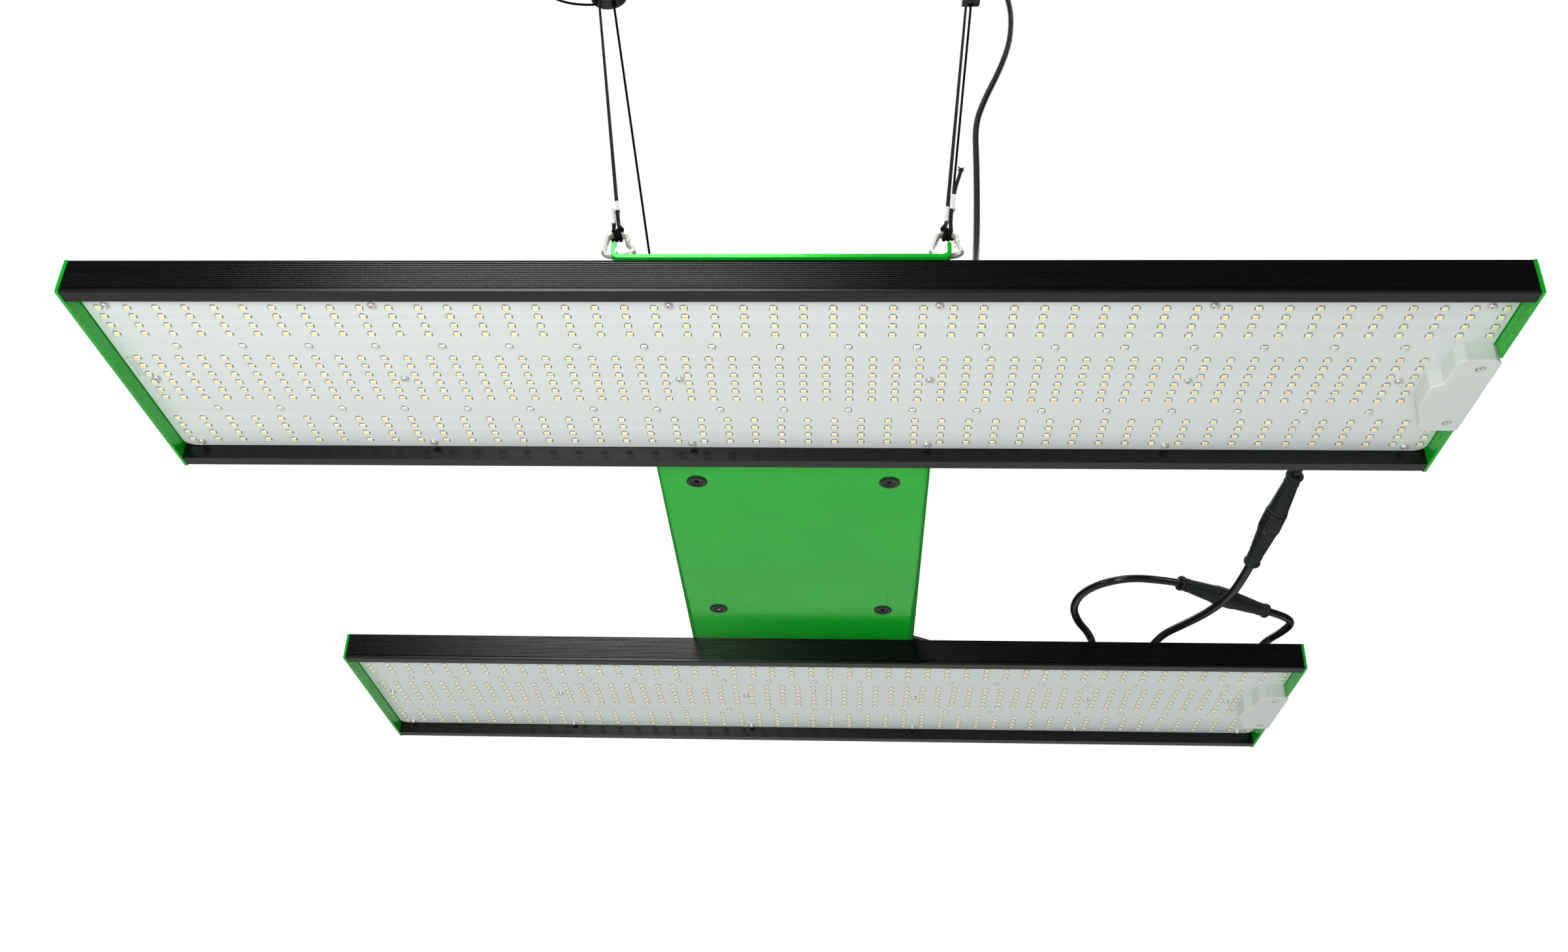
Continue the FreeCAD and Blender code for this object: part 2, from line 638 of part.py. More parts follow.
def flange_screw(shank, length, flange):
    """A very low screw with a dished round flange and a hex socket, head down and shank up."""
    rim = flange / 2
    profile = [(0, -0.4), (0.47 * rim, -0.4), (0.58 * rim, -1.5), (0.84 * rim, -1.5), (rim, -0.7), (rim, 0),
               (shank / 2, 0), (shank / 2, length), (0, length)]
    screw = turned(profile, Vector(0, 0, 0), Z_AXIS)
    return screw.cut(moved(hexagon(SOCKET_FLATS, SOCKET_DEEP), Vector(0, 0, -0.5)))


def hexagon(across, high):
    """An upright hexagonal prism, given across its flats."""
    radius = across / math.sqrt(3)
    points = [Vector(radius * math.cos(math.radians(60 * k)), radius * math.sin(math.radians(60 * k)), 0)
              for k in range(6)]
    return prism(points, Vector(0, 0, high))


def driver_case():
    """The driver's extruded case: a finned box on two screw-down feet, open at both ends."""
    y0 = DRIVER_Y[0] + CAP_THICK
    y1 = DRIVER_Y[1] - CAP_THICK
    low = BRACKET_LOW + SHEET
    half = DRIVER_BODY / 2
    body = box(DRIVER_MID_X - half, DRIVER_MID_X + half, y0, y1, low, low + DRIVER_HIGH - 3)
    feet = box(DRIVER_MID_X - DRIVER_FEET / 2, DRIVER_MID_X + DRIVER_FEET / 2, y0, y1,
               low, low + FOOT_THICK)
    crest = low + DRIVER_HIGH
    fins = [box(DRIVER_MID_X + x - 1, DRIVER_MID_X + x + 1, y0, y1, crest - 4, crest)
            for x in evenly(-half + 1, half - 1, DRIVER_FINS)]
    case = body.multiFuse([feet] + fins)
    inner = box(DRIVER_MID_X - half + CASE_WALL, DRIVER_MID_X + half - CASE_WALL, y0 - 1, y1 + 1,
                low + CASE_WALL, low + DRIVER_HIGH - 3 - CASE_WALL)
    case = case.cut(inner)
    holes = [rod(Vector(x, y, 0), Z_AXIS, M6_HOLE / 2, 40) for x in DRIVER_SCREW_X for y in DRIVER_SCREW_Y]
    return case.cut(Part.makeCompound(holes))


def gland_spots():
    """The driver's glands as (position, direction, bore diameter)."""
    return [
        (MAINS_GLAND, Y_AXIS.negative(), MAINS),
        (LEAD_GLANDS[0], Y_AXIS, LEAD),
        (LEAD_GLANDS[1], Y_AXIS, LEAD),
    ]


def driver_end_caps():
    """The two end caps of the driver, with the gland holes."""
    low = BRACKET_LOW + SHEET
    half = DRIVER_BODY / 2
    caps = []
    for y0 in (DRIVER_Y[0], DRIVER_Y[1] - CAP_THICK):
        cap = box(DRIVER_MID_X - half, DRIVER_MID_X + half, y0, y0 + CAP_THICK, low, low + DRIVER_HIGH)
        upright = [e for e in cap.Edges if abs(e.tangentAt(e.FirstParameter).y) > 0.9]
        cap = cap.makeFillet(2.0, upright)
        for spot, way, _ in gland_spots():
            cap = cap.cut(rod(spot.sub(way * 10), way, 5.05, 20))
        caps.append(cap)
    return caps


def straight_gland(spot, way, bore):
    """A screw-in cable gland with a hexagon, a dome nut and a bore for the cable."""
    profile = [(bore / 2 + 0.05, -5), (5.0, -5), (5.0, 0), (8.0, 0), (8.0, 5), (7.4, 5.6),
               (7.4, 11), (5.2, GLAND_LONG), (bore / 2 + 0.05, GLAND_LONG)]
    return turned(profile, spot, way)


def driver_circuit_board():
    """The driver's circuit board with its transformer, capacitors and choke."""
    low = BRACKET_LOW + SHEET + CASE_WALL + 4
    board_top = low + 1.6
    x0 = DRIVER_MID_X - 58
    plate = box(x0, DRIVER_MID_X + 58, 270, 484, low, board_top)
    parts = [
        box(DRIVER_MID_X - 20, DRIVER_MID_X + 20, 350, 392, board_top - 0.1, board_top + 24),
        rod(Vector(DRIVER_MID_X - 40, 310, board_top - 0.1), Z_AXIS, 9, 24),
        rod(Vector(DRIVER_MID_X - 15, 310, board_top - 0.1), Z_AXIS, 9, 24),
        rod(Vector(DRIVER_MID_X + 30, 430, board_top - 0.1), Z_AXIS, 8, 22),
        box(DRIVER_MID_X + 10, DRIVER_MID_X + 36, 300, 322, board_top - 0.1, board_top + 18),
    ]
    return plate.multiFuse(parts)


def driver_supports():
    """Four pillars that hold the driver's circuit board off the case floor."""
    low = BRACKET_LOW + SHEET + CASE_WALL
    return [rod(Vector(x, y, low), Z_AXIS, 3.0, 4.0)
            for x in (DRIVER_MID_X - 50, DRIVER_MID_X + 50) for y in (280, 474)]


def write_driver():
    """Bracket, driver and all their screws."""
    write("bracket", bracket())
    write("driver_case", driver_case())
    write("driver_end_caps", driver_end_caps())
    write("driver_circuit_board", [driver_circuit_board()] + driver_supports())
    write("driver_glands", [straight_gland(spot, way, bore) for spot, way, bore in gland_spots()])
    screw = flange_screw(M6, 14.5, 15.5)
    spots = [Vector(x, y, BRACKET_LOW) for x in DRIVER_SCREW_X for y in DRIVER_SCREW_Y]
    write("driver_screws", [moved(screw, spot) for spot in spots])
    nut_z = SHEET + FOOT_THICK
    nut = hexagon(10.0, 5.0).cut(rod(Vector(0, 0, -1), Z_AXIS, 3.05, 10))
    write("driver_nuts", [moved(nut, spot.add(Vector(0, 0, nut_z))) for spot in spots])
    bolt = button_screw(M6, 10.0, 12.0)
    upside_down = Placement(Vector(0, 0, 0), Rotation(X_AXIS, 180))
    bolt = moved_by(bolt, upside_down)
    head_z = BRACKET_LOW + SHEET
    write("bar_bolts", [moved(bolt, spot.add(Vector(0, 0, head_z))) for spot in bolt_spots()])


# ---- snap hooks -------------------------------------------------------------------------
def snap_hook():
    """Body, gate and rivet of a 40 mm snap hook; local X is across it and local Z along it."""
    points = [Vector(x, 0, z) for x, z in HOOK_CORNERS]
    body = swept(smooth_wire(points, HOOK_RADII), HOOK_WIRE / 2)
    pivot = GATE_PIVOT
    body = body.cut(box(3, 10, -0.95, 0.95, 17, 23.2))
    body = body.cut(rod(pivot.sub(Vector(0, 5, 0)), Y_AXIS, RIVET_RADIUS + 0.05, 10))
    way = GATE_TIP.sub(pivot).normalize()
    length = GATE_TIP.sub(pivot).Length
    gate = rod(pivot.add(way * 3.2), way, GATE_RADIUS, length - 3.2)
    tongue = rod(pivot.sub(Vector(0, 0.8, 0)), Y_AXIS, 1.7, 1.6)
    strap = box(-1.6, 1.6, -0.8, 0.8, -4.2, 0)
    lean = Rotation(Vector(0, 0, -1), way)
    gate = gate.multiFuse([tongue, moved_by(strap, Placement(pivot, lean))])
    gate = gate.cut(rod(pivot.sub(Vector(0, 5, 0)), Y_AXIS, RIVET_RADIUS + 0.05, 10))
    rivet = rod(pivot.sub(Vector(0, 2.1, 0)), Y_AXIS, RIVET_RADIUS, 4.2)
    for side in (-1, 1):
        cap = Part.makeSphere(1.5, pivot.add(Vector(0, side * 1.6, 0)))
        keep = box(3, 10, 1.98, 4, 17, 25) if side > 0 else box(3, 10, -4, -1.98, 17, 25)
        rivet = rivet.fuse(cap.common(keep))
    return body, gate, rivet


def leg_mouth(end, side):
    """Where a harness leg enters its block."""
    if end == "rear":
        return block_point(side, ROPE_ON_WHEEL, 0, MOUTH_Z)
    out = -ANCHOR_OFFSET if side == "left" else ANCHOR_OFFSET
    return block_point(side, -ROPE_ON_WHEEL, out, MOUTH_Z)


def corner_placements():
    """Where the four corner hooks sit, each leaning along its own harness leg."""
    places = {}
    for side, x in zip(("left", "right"), HOOK_X):
        for end, y in zip(("front", "rear"), HOOK_Y):
            seat = Vector(x, y, HOOK_SEAT_Z)
            way = leg_mouth(end, side).sub(seat)
            places[end + "_" + side] = Placement(seat, Rotation(X_AXIS, Y_AXIS, way, "ZXY"))
    return places


def block_placements():
    """Where the two rope ratchet blocks sit; the right one is turned a quarter round."""
    return {
        "left": Placement(BLOCK_LEFT, Rotation()),
        "right": Placement(BLOCK_RIGHT, Rotation(Z_AXIS, 90)),
    }


def ceiling_placement(side):
    """Where a ceiling hook sits, threaded through the top of its block."""
    seat = Placement(Vector(0, 0, CEILING_WIRE_Z), Rotation(Z_AXIS, 90))
    return block_placements()[side].multiply(seat)


def write_hooks():
    """Corner hooks, ceiling hooks, their gates and rivets."""
    body, gate, rivet = snap_hook()
    corners = corner_placements()
    write("corner_hooks", [moved_by(body, place) for place in corners.values()])
    rivets = [moved_by(rivet, place) for place in corners.values()]
    for corner, place in corners.items():
        write("hook_gate_" + corner, moved_by(gate, place))
    large_body, large_gate, large_rivet = [scaled(s, CEILING_SCALE) for s in (body, gate, rivet)]
    write("ceiling_hooks", [moved_by(large_body, ceiling_placement(side)) for side in ("left", "right")])
    for side in ("left", "right"):
        write("ceiling_gate_" + side, moved_by(large_gate, ceiling_placement(side)))
        rivets.append(moved_by(large_rivet, ceiling_placement(side)))
    write("gate_rivets", rivets)


# ---- rope ratchet blocks, in a frame centred on the wheel -------------------------------
def block_outline(inset):
    """Pear-shaped outline of a block in its own plane."""
    radius = BLOCK_RADIUS - inset
    shoulder = 14.0
    top = 41.0 if inset else BLOCK_TOP
    neck = 11.0 - 0.6 * inset
    round_end = top - neck
    edges = [Part.Arc(Vector(radius, 0, 0), Vector(0, 0, -radius), Vector(-radius, 0, 0)).toShape()]
    left = [Vector(-radius, 0, 0), Vector(-radius, 0, shoulder), Vector(-neck, 0, round_end)]
    for start, end in zip(left, left[1:]):
        edges.append(Part.LineSegment(start, end).toShape())
    crown = (Vector(-neck, 0, round_end), Vector(0, 0, top), Vector(neck, 0, round_end))
    edges.append(Part.Arc(*crown).toShape())
    right = [Vector(neck, 0, round_end), Vector(radius, 0, shoulder), Vector(radius, 0, 0)]
    for start, end in zip(right, right[1:]):
        edges.append(Part.LineSegment(start, end).toShape())
    return Part.Face(Part.Wire(edges))


def block_shell(rear):
    """One half of a block's housing."""
    way = BLOCK_HALF if rear else -BLOCK_HALF
    depth = (BLOCK_HALF - BLOCK_WALL) * (1 if rear else -1)
    shell = block_outline(0).extrude(Vector(0, way, 0))
    rim = [e for e in shell.Edges if abs(e.valueAt(e.FirstParameter).y - way) < 1e-6
           and abs(e.valueAt(e.LastParameter).y - way) < 1e-6]
    shell = shell.makeFillet(1.2, rim)
    pillars = [rod(Vector(p.x, min(0, way), p.z), Y_AXIS, 3.4, BLOCK_HALF) for p in BLOCK_SCREWS]
    hollow = block_outline(BLOCK_WALL).extrude(Vector(0, depth, 0))
    hollow = hollow.cut(Part.makeCompound(pillars))
    shell = shell.cut(hollow)
    for low, high in ((BLOCK_NECK, 12.0), (-12.0, -BLOCK_NECK)):
        shell = shell.cut(box(-15, 15, low, high, 43.0, 60.0))
    cuts = [rod(Vector(0, -12, EYE_HOLE_Z), Y_AXIS, EYE_RADIUS, 24)]
    for face in (-1, 1):
        throat = Vector(0, face * (BLOCK_NECK + 0.2 - EYE_FLARE_DEEP), EYE_HOLE_Z)
        flare = Part.makeCone(EYE_RADIUS, EYE_RADIUS + EYE_FLARE, EYE_FLARE_DEEP, throat, Y_AXIS * face)
        cuts.append(flare)
    cuts.append(rod(Vector(0, -12, 0), Y_AXIS, AXLE / 2, 24))
    cuts.append(rod(Vector(LEVER_PIVOT.x, -12, LEVER_PIVOT.z), Y_AXIS, LEVER_PIN / 2, 24))
    cuts += [rod(Vector(p.x, -12, p.z), Y_AXIS, 1.3, 24) for p in BLOCK_SCREWS]
    cuts.append(box(ROPE_ON_WHEEL - 2.2, ROPE_ON_WHEEL + 2.2, -2.2, 5.6, -25, -12))
    cuts.append(box(-ROPE_ON_WHEEL - 5.2, -ROPE_ON_WHEEL + 2.0, -1.9, 1.9, -25, -11))
    for side in (-ANCHOR_OFFSET, ANCHOR_OFFSET):
        cuts.append(rod(Vector(-ROPE_ON_WHEEL, side, -25), Z_AXIS, KNOT_HOLE / 2, 12))
    cuts.append(box(11.0, 30.0, -3.4, 3.4, 14.0, 35.0))
    shell = shell.cut(Part.makeCompound(cuts))
    return shell


def ratchet_wheel():
    """The grooved rope wheel, with ratchet teeth on its front flange."""
    groove = ROPE_ON_WHEEL - ROPE / 2 - 0.3
    bore = AXLE / 2 + 0.05
    profile = [(bore, -3), (WHEEL_FLANGE, -3), (WHEEL_FLANGE, -1.6), (groove, -1.3), (groove, 1.3),
               (9.0, 1.6), (9.0, 3), (bore, 3)]
    wheel = turned(profile, Vector(0, 0, 0), Y_AXIS)
    teeth = []
    for tooth in range(WHEEL_TEETH):
        angle = math.radians(360 * tooth / WHEEL_TEETH)
        next_angle = math.radians(360 * (tooth + 0.8) / WHEEL_TEETH)
        root = Vector(8.6 * math.cos(angle), -3.5, 8.6 * math.sin(angle))
        tip = Vector(10.6 * math.cos(angle), -3.5, 10.6 * math.sin(angle))
        rise = Vector(10.6 * math.cos(next_angle), -3.5, 10.6 * math.sin(next_angle))
        teeth.append(prism([root, tip, rise], Vector(0, 1.95, 0)))
    return wheel.cut(Part.makeCompound(teeth))


def release_lever():
    """The sprung pawl lever: a nose over the wheel's teeth and a thumb tab outside."""
    pivot = LEVER_PIVOT
    nose = [Vector(pivot.x - 1.6, -3, pivot.z + 2.6), Vector(pivot.x - 2.8, -3, pivot.z - 2.2),
            Vector(6.0, -3, 8.9), Vector(7.4, -3, 8.2), Vector(pivot.x + 2.2, -3, pivot.z - 2.4)]
    pawl = prism(nose, Vector(0, 1.4, 0))
    hub = rod(pivot.sub(Vector(0, 3, 0)), Y_AXIS, 3.3, 6)
    arm = [Vector(pivot.x + 0.5, -3, pivot.z + 3.2), Vector(20.2, -3, 28.0), Vector(25.5, -3, 31.0),
           Vector(26.5, -3, 29.0), Vector(22.0, -3, 24.0), Vector(pivot.x + 3.2, -3, pivot.z - 0.6)]
    tab = prism(arm, Vector(0, 6, 0))
    lever = pawl.multiFuse([hub, tab])
    return lever.cut(rod(pivot.sub(Vector(0, 5, 0)), Y_AXIS, LEVER_PIN / 2 + 0.05, 10))


def block_pins():
    """The wheel's axle and the lever's pin, with flat heads outside the housing."""
    pins = []
    for spot, radius in ((Vector(0, 0, 0), AXLE / 2), (LEVER_PIVOT, LEVER_PIN / 2)):
        pin = rod(Vector(spot.x, -BLOCK_HALF - 1, spot.z), Y_AXIS, radius - 0.02, 2 * BLOCK_HALF + 2)
        for y in (-BLOCK_HALF - 1, BLOCK_HALF):
            pin = pin.fuse(rod(Vector(spot.x, y, spot.z), Y_AXIS, radius + 1.2, 1))
        pins.append(pin)
    return pins


def block_screws():
    """The three screws that close a housing, from the front."""
    screws = []
    for spot in BLOCK_SCREWS:
        profile = [(0, -1.2), (2.2, -1.2), (2.4, 0), (1.25, 0), (1.25, 15), (0, 15)]
        screw = turned(profile, Vector(spot.x, -BLOCK_HALF, spot.z), Y_AXIS)
        slot = box(spot.x - 1.6, spot.x + 1.6, -BLOCK_HALF - 2, -BLOCK_HALF - 0.6,
                   spot.z - 0.3, spot.z + 0.3)
        screws.append(screw.cut(slot))
    return screws


def write_blocks():
    """Both rope ratchet blocks."""
    places = block_placements()
    for name, maker in (("block_front_shells", lambda: [block_shell(False)]),
                        ("block_rear_shells", lambda: [block_shell(True)]),
                        ("block_pins", block_pins), ("block_screws", block_screws)):
        shapes = maker()
        write(name, [moved_by(shape, place) for place in places.values() for shape in shapes])
    for side, place in places.items():
        write("ratchet_wheel_" + side, moved_by(ratchet_wheel(), place))
        write("release_lever_" + side, moved_by(release_lever(), place))


# ---- harness ropes ----------------------------------------------------------------------
def rope_eye(place):
    """Two turns of the rope around a hook's top bow."""
    turns = []
    wrap = HOOK_WIRE / 2 + ROPE / 2 + 0.15
    for across in (-STRAND, STRAND):
        corners = [(-STRAND, EYE_TOP), (-wrap, 41.0), (-wrap, 36 - wrap), (wrap, 36 - wrap),
                   (wrap, 41.0), (STRAND, EYE_TOP)]
        points = [Vector(across, y, z) for y, z in corners]
        path = smooth_wire(points, [12, wrap - 0.02, wrap - 0.02, 12])
        turns.append(moved_by(swept(path, ROPE / 2), place))
    return turns


def strand_start(place, beside):
    """Where a harness leg leaves its eye, on the side away from its side sleeve."""
    return place.multVec(Vector(-STRAND * beside, 0, EYE_TOP + 0.1))


def sleeves(start, towards, spans, aside):
    """The two crimp sleeves over the end of a harness leg, side by side."""
    way = towards.sub(start).normalize()
    low, high, side_low, side_high = spans
    main = rod(start.add(way * low), way, 1.85, high - low)
    main = main.cut(rod(start.add(way * (low - 1)), way, ROPE / 2 + 0.02, high - low + 2))
    side = rod(start.add(way * side_low).add(aside), way, 1.6, side_high - side_low)
    return [main, side]


def block_point(side, across, out, high):
    """A point given in a block's own frame."""
    return block_placements()[side].multVec(Vector(across, out, high))


def anchored_end(side, out):
    """A leg that ends in a stopper knot just inside its block."""
    mouth = block_point(side, -ROPE_ON_WHEEL, out, MOUTH_Z)
    inside = block_point(side, -ROPE_ON_WHEEL, out, -9.0)
    return mouth, inside


def rope_knot(side, out):
    """The stopper knot of an anchored leg."""
    return Part.makeSphere(KNOT, block_point(side, -ROPE_ON_WHEEL, out, -10.2))


def running_end(side):
    """Points of a leg that enters its block and passes over the wheel."""
    reach = ROPE_ON_WHEEL
    return [block_point(side, reach, 0, MOUTH_Z), block_point(side, reach, 0, reach),
            block_point(side, -reach, 0, reach), block_point(side, -reach, 0, -reach)]


def tail_points():
    """The left harness's free tail, tied back to the shank of the ceiling hook."""
    reach = ROPE_ON_WHEEL
    local = [(-reach, 0, -reach), (-reach, 0, -21.3), (-24.0, 0, -21.5), (-41.0, 0, -18.5),
             (-57.0, 0, -11.0), (-67.0, 1.0, 5.0), (-69.0, 2.0, 27.0), (-61.0, 3.0, 48.0),
             (-44.0, 4.0, 62.0), (-26.0, 6.0, 66.0), (-11.0, 10.0, 64.0)]
    return [block_point("left", x, y, z) for x, y, z in local]


def write_ropes():
    """The four harness legs, their eyes and sleeves, and the tail."""
    corners = corner_placements()
    eyes = []
    sleeve_pieces = []
    front_out = {"left": -ANCHOR_OFFSET, "right": ANCHOR_OFFSET}
    knots = []
    for corner, place in corners.items():
        end, side = corner.split("_")
        beside = SLEEVE_SIDES[corner]
        start = strand_start(place, beside)
        if end == "front":
            mouth, inside = anchored_end(side, front_out[side])
            rest = [mouth, inside]
            knots.append(rope_knot(side, front_out[side]))
        else:
            rest = running_end(side)
            mouth = rest[0]
        write("rope_" + corner, cord("rope_" + corner, [start] + rest, ROPE))
        eyes += rope_eye(place)
        aside = place.Rotation.multVec(Vector(SLEEVE_GAP * beside, 0, 0))
        sleeve_pieces += sleeves(start, mouth, SLEEVES[corner], aside)
    write("rope_eyes", eyes)
    write("rope_knots", knots)
    write("rope_sleeves", sleeve_pieces)
    write("tail_left", cord("tail_left", tail_points(), ROPE))


# ---- leads, connectors and mains cord ---------------------------------------------------
def vectors(rows):
    """Rows of three numbers as vectors."""
    return [Vector(*row) for row in rows]


def connector_halves(start, end):
    """Socket half, plug half and coupling nut of a round waterproof connector."""
    way = end.sub(start)
    long = way.Length
    way.normalize()
    middle = long / 2
    bore = LEAD / 2 + 0.05
    socket_profile = [(bore, 0), (5.6, 0), (5.6, 2.2), (4.6, 3.0)]
    for ring in range(6):
        low = 4.0 + 3.4 * ring
        grow = 4.8 + 0.38 * ring
        socket_profile += [(grow - 0.7, low), (grow, low + 0.5), (grow, low + 2.4), (grow - 0.6, low + 2.9)]
    inner_face = [(7.4, 25.5), (7.6, middle - 10.4), (6.2, middle - 10.0), (6.2, middle - 0.1)]
    socket = turned(socket_profile + inner_face + [(bore, middle - 0.1)], start, way)
    inner_face = [(7.4, 25.5), (7.6, middle - 10.4), (6.2, middle - 10.0), (6.2, middle)]
    plug = turned(socket_profile + inner_face + [(bore, middle)], end, way.negative())
    nut_profile = [(6.27, -9.6), (7.9, -9.6), (8.25, -8.6), (8.25, 8.6), (7.9, 9.6), (6.27, 9.6)]
    nut = turned(nut_profile, start.add(way * middle), way)
    grips = []
    placement = Placement(start.add(way * middle), Rotation(Z_AXIS, way))
    for notch in range(18):
        turn = Rotation(Z_AXIS, 20 * notch)
        cut = rod(turn.multVec(Vector(8.7, 0, -8.0)), Z_AXIS, 0.7, 16)
        grips.append(moved_by(cut, placement))
    return socket, plug, nut.cut(Part.makeCompound(grips))


def gland_exit(bar):
    """Where a pigtail comes out of its bar's elbow gland."""
    shift = BARS[bar]
    way = GLAND_WAYS[bar]
    head = Vector(GLAND_SPOT[0] + shift.x, GLAND_SPOT[1] + shift.y, GLAND_AXIS_Z)
    return head.add(way * GLAND_REACH)


def mains_route():
    """The mains cord from the driver's gland to where it joins the coil."""
    spot, way, _ = gland_spots()[0]
    angle = math.radians(COIL_ENTRY)
    entry = COIL_CENTRE.add(Vector(3.0, COIL_RADIUS * math.cos(angle), COIL_RADIUS * math.sin(angle)))
    return [spot.add(way * GLAND_LONG)] + vectors(MAINS_POINTS) + [entry]


def mains_plug(top):
    """A moulded two-pin plug hanging under a tapered, ribbed strain relief."""
    relief = [(0, 0), (3.6, 0)]
    for ring in range(6):
        low = 1.5 + 3.6 * ring
        grow = 4.0 + 0.5 * ring
        relief += [(grow - 0.6, low), (grow, low + 0.6), (grow, low + 2.4), (grow - 0.4, low + 2.9)]
    relief += [(6.5, 24), (0, 24)]
    shape = turned(relief, top, Z_AXIS.negative())
    low = top.z - 52.0
    body = box(top.x - 11.5, top.x + 11.5, top.y - 9.0, top.y + 9.0, low, top.z - 23.5)
    body = body.makeFillet(4.0, [e for e in body.Edges if abs(e.tangentAt(e.FirstParameter).z) > 0.9])
    top_edges = [e for e in body.Edges if abs(e.valueAt(e.FirstParameter).z - top.z + 23.5) < 1e-6
                 and abs(e.valueAt(e.LastParameter).z - top.z + 23.5) < 1e-6]
    body = body.makeFillet(2.0, top_edges)
    pins = [box(top.x + x - 0.8, top.x + x + 0.8, top.y - 3.2, top.y + 3.2, low - 17.0, low + 1)
            for x in (-6.35, 6.35)]
    return shape.multiFuse([body] + pins)


def coil_tie(leg_x):
    """A strap around the coil and the right ceiling hook's outer leg."""
    x0 = leg_x - 4.6
    x1 = COIL_CENTRE.x + COIL_HALF + 0.5
    near = COIL_CENTRE.y - COIL_RADIUS - PLUG_FORWARD - MAINS / 2 - 0.5
    far = COIL_CENTRE.y - COIL_RADIUS + COIL_HALF + 0.9
    low = COIL_CENTRE.z - 5.0
    wrap = 1.2
    outer = box(x0 - wrap, x1 + wrap, near - wrap, far + wrap, low, low + 10)
    outer = outer.makeFillet(2.5, [e for e in outer.Edges if abs(e.tangentAt(e.FirstParameter).z) > 0.9])
    inner = box(x0, x1, near, far, low - 1, low + 11)
    inner = inner.makeFillet(1.3, [e for e in inner.Edges if abs(e.tangentAt(e.FirstParameter).z) > 0.9])
    return outer.cut(inner)


def coil():
    """The outer shape of the coiled mains cord: a fat ring in an upright plane."""
    return Part.makeTorus(COIL_RADIUS, COIL_HALF, COIL_CENTRE, X_AXIS)


def write_leads():
    """Pigtails, driver leads, connectors and the mains cord."""
    sockets = []
    plugs = []
    glands = []
    outputs = {"far": gland_spots()[1], "near": gland_spots()[2]}
    for bar, shift in BARS.items():
        start, end = CONNECTORS[bar]
        socket, plug, nut = connector_halves(start, end)
        sockets.append(socket)
        plugs.append(plug)
        write("coupling_nut_" + bar, nut)
        spot = Vector(GLAND_SPOT[0] + shift.x, GLAND_SPOT[1] + shift.y, 0)
        glands.append(elbow_gland(spot, GLAND_WAYS[bar]))
        middle = vectors(PIGTAIL_ROUTES[bar])
        if bar == "near":
            route = [gland_exit(bar)] + middle + [start]
        else:
            route = [start] + middle + [gland_exit(bar)]
        write("pigtail_" + bar, cord("pigtail_" + bar, route, LEAD))
        spot, way, _ = outputs[bar]
        route = [end] + vectors(LEAD_ROUTES[bar]) + [spot.add(way * GLAND_LONG)]
        write("driver_lead_" + bar, cord("driver_lead_" + bar, route, LEAD))
    write("pigtail_sockets", sockets)
    write("driver_plugs", plugs)
    write("lead_glands", glands)
    write("mains_cord", cord("mains_cord", mains_route(), MAINS))
    write("cord_coil", coil())
    leave = Vector(COIL_CENTRE.x, COIL_CENTRE.y - COIL_RADIUS - PLUG_FORWARD, COIL_CENTRE.z)
    write("mains_plug", mains_plug(leave.sub(Vector(0, 0, PLUG_DROP))))
    write("coil_tie", coil_tie(TIE_LEG_X))


def main():
    """Write every node."""
    os.makedirs("parts", exist_ok=True)
    write_bars()
    write_driver()
    write_hooks()
    write_blocks()
    write_ropes()
    write_leads()


main()
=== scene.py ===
"""Looks of the hanging LED grow light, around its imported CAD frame. at() takes bar-frame mm."""
import math
import random

import bpy
import numpy as np
from mathutils import Matrix, Vector


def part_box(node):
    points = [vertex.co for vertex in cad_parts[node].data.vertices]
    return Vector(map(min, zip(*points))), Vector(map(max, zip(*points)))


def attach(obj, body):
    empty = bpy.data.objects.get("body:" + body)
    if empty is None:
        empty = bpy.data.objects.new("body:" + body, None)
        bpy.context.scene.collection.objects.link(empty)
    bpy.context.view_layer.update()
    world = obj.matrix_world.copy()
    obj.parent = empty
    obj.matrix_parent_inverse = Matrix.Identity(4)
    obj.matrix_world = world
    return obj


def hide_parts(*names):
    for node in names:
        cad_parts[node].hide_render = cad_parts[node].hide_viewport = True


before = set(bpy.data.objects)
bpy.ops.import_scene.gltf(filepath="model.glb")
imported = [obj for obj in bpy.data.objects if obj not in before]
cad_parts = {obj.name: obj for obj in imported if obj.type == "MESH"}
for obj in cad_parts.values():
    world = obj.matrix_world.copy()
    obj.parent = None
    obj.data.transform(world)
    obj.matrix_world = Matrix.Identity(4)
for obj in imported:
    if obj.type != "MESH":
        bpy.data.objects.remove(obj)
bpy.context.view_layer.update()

MM = 0.001
# The bar frame's origin: the left end plates start 435 mm left, 0.4 mm in front and 0.4 mm below it.
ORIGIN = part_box("left_end_plates")[0] + Vector((0.435, 0.0004, 0.0004))
FAR = (12.0, 552.0, 0.0)
BARS = ((0.0, 0.0, 0.0), FAR)
BOARD_LOW = 10.7
random.seed(11)
CHANCE = np.random.default_rng(11)


def at(x, y, z):
    """A bar-frame point in mm as a frame point in metres."""
    return ORIGIN + Vector((x, y, z)) * MM


# ---- camera ----
CAMERA_TURN = (-2.862, 29.957, 1.754)
CAMERA_PLACE = (0.06452, -1.07681, -1.29920)
LENS = 34.259


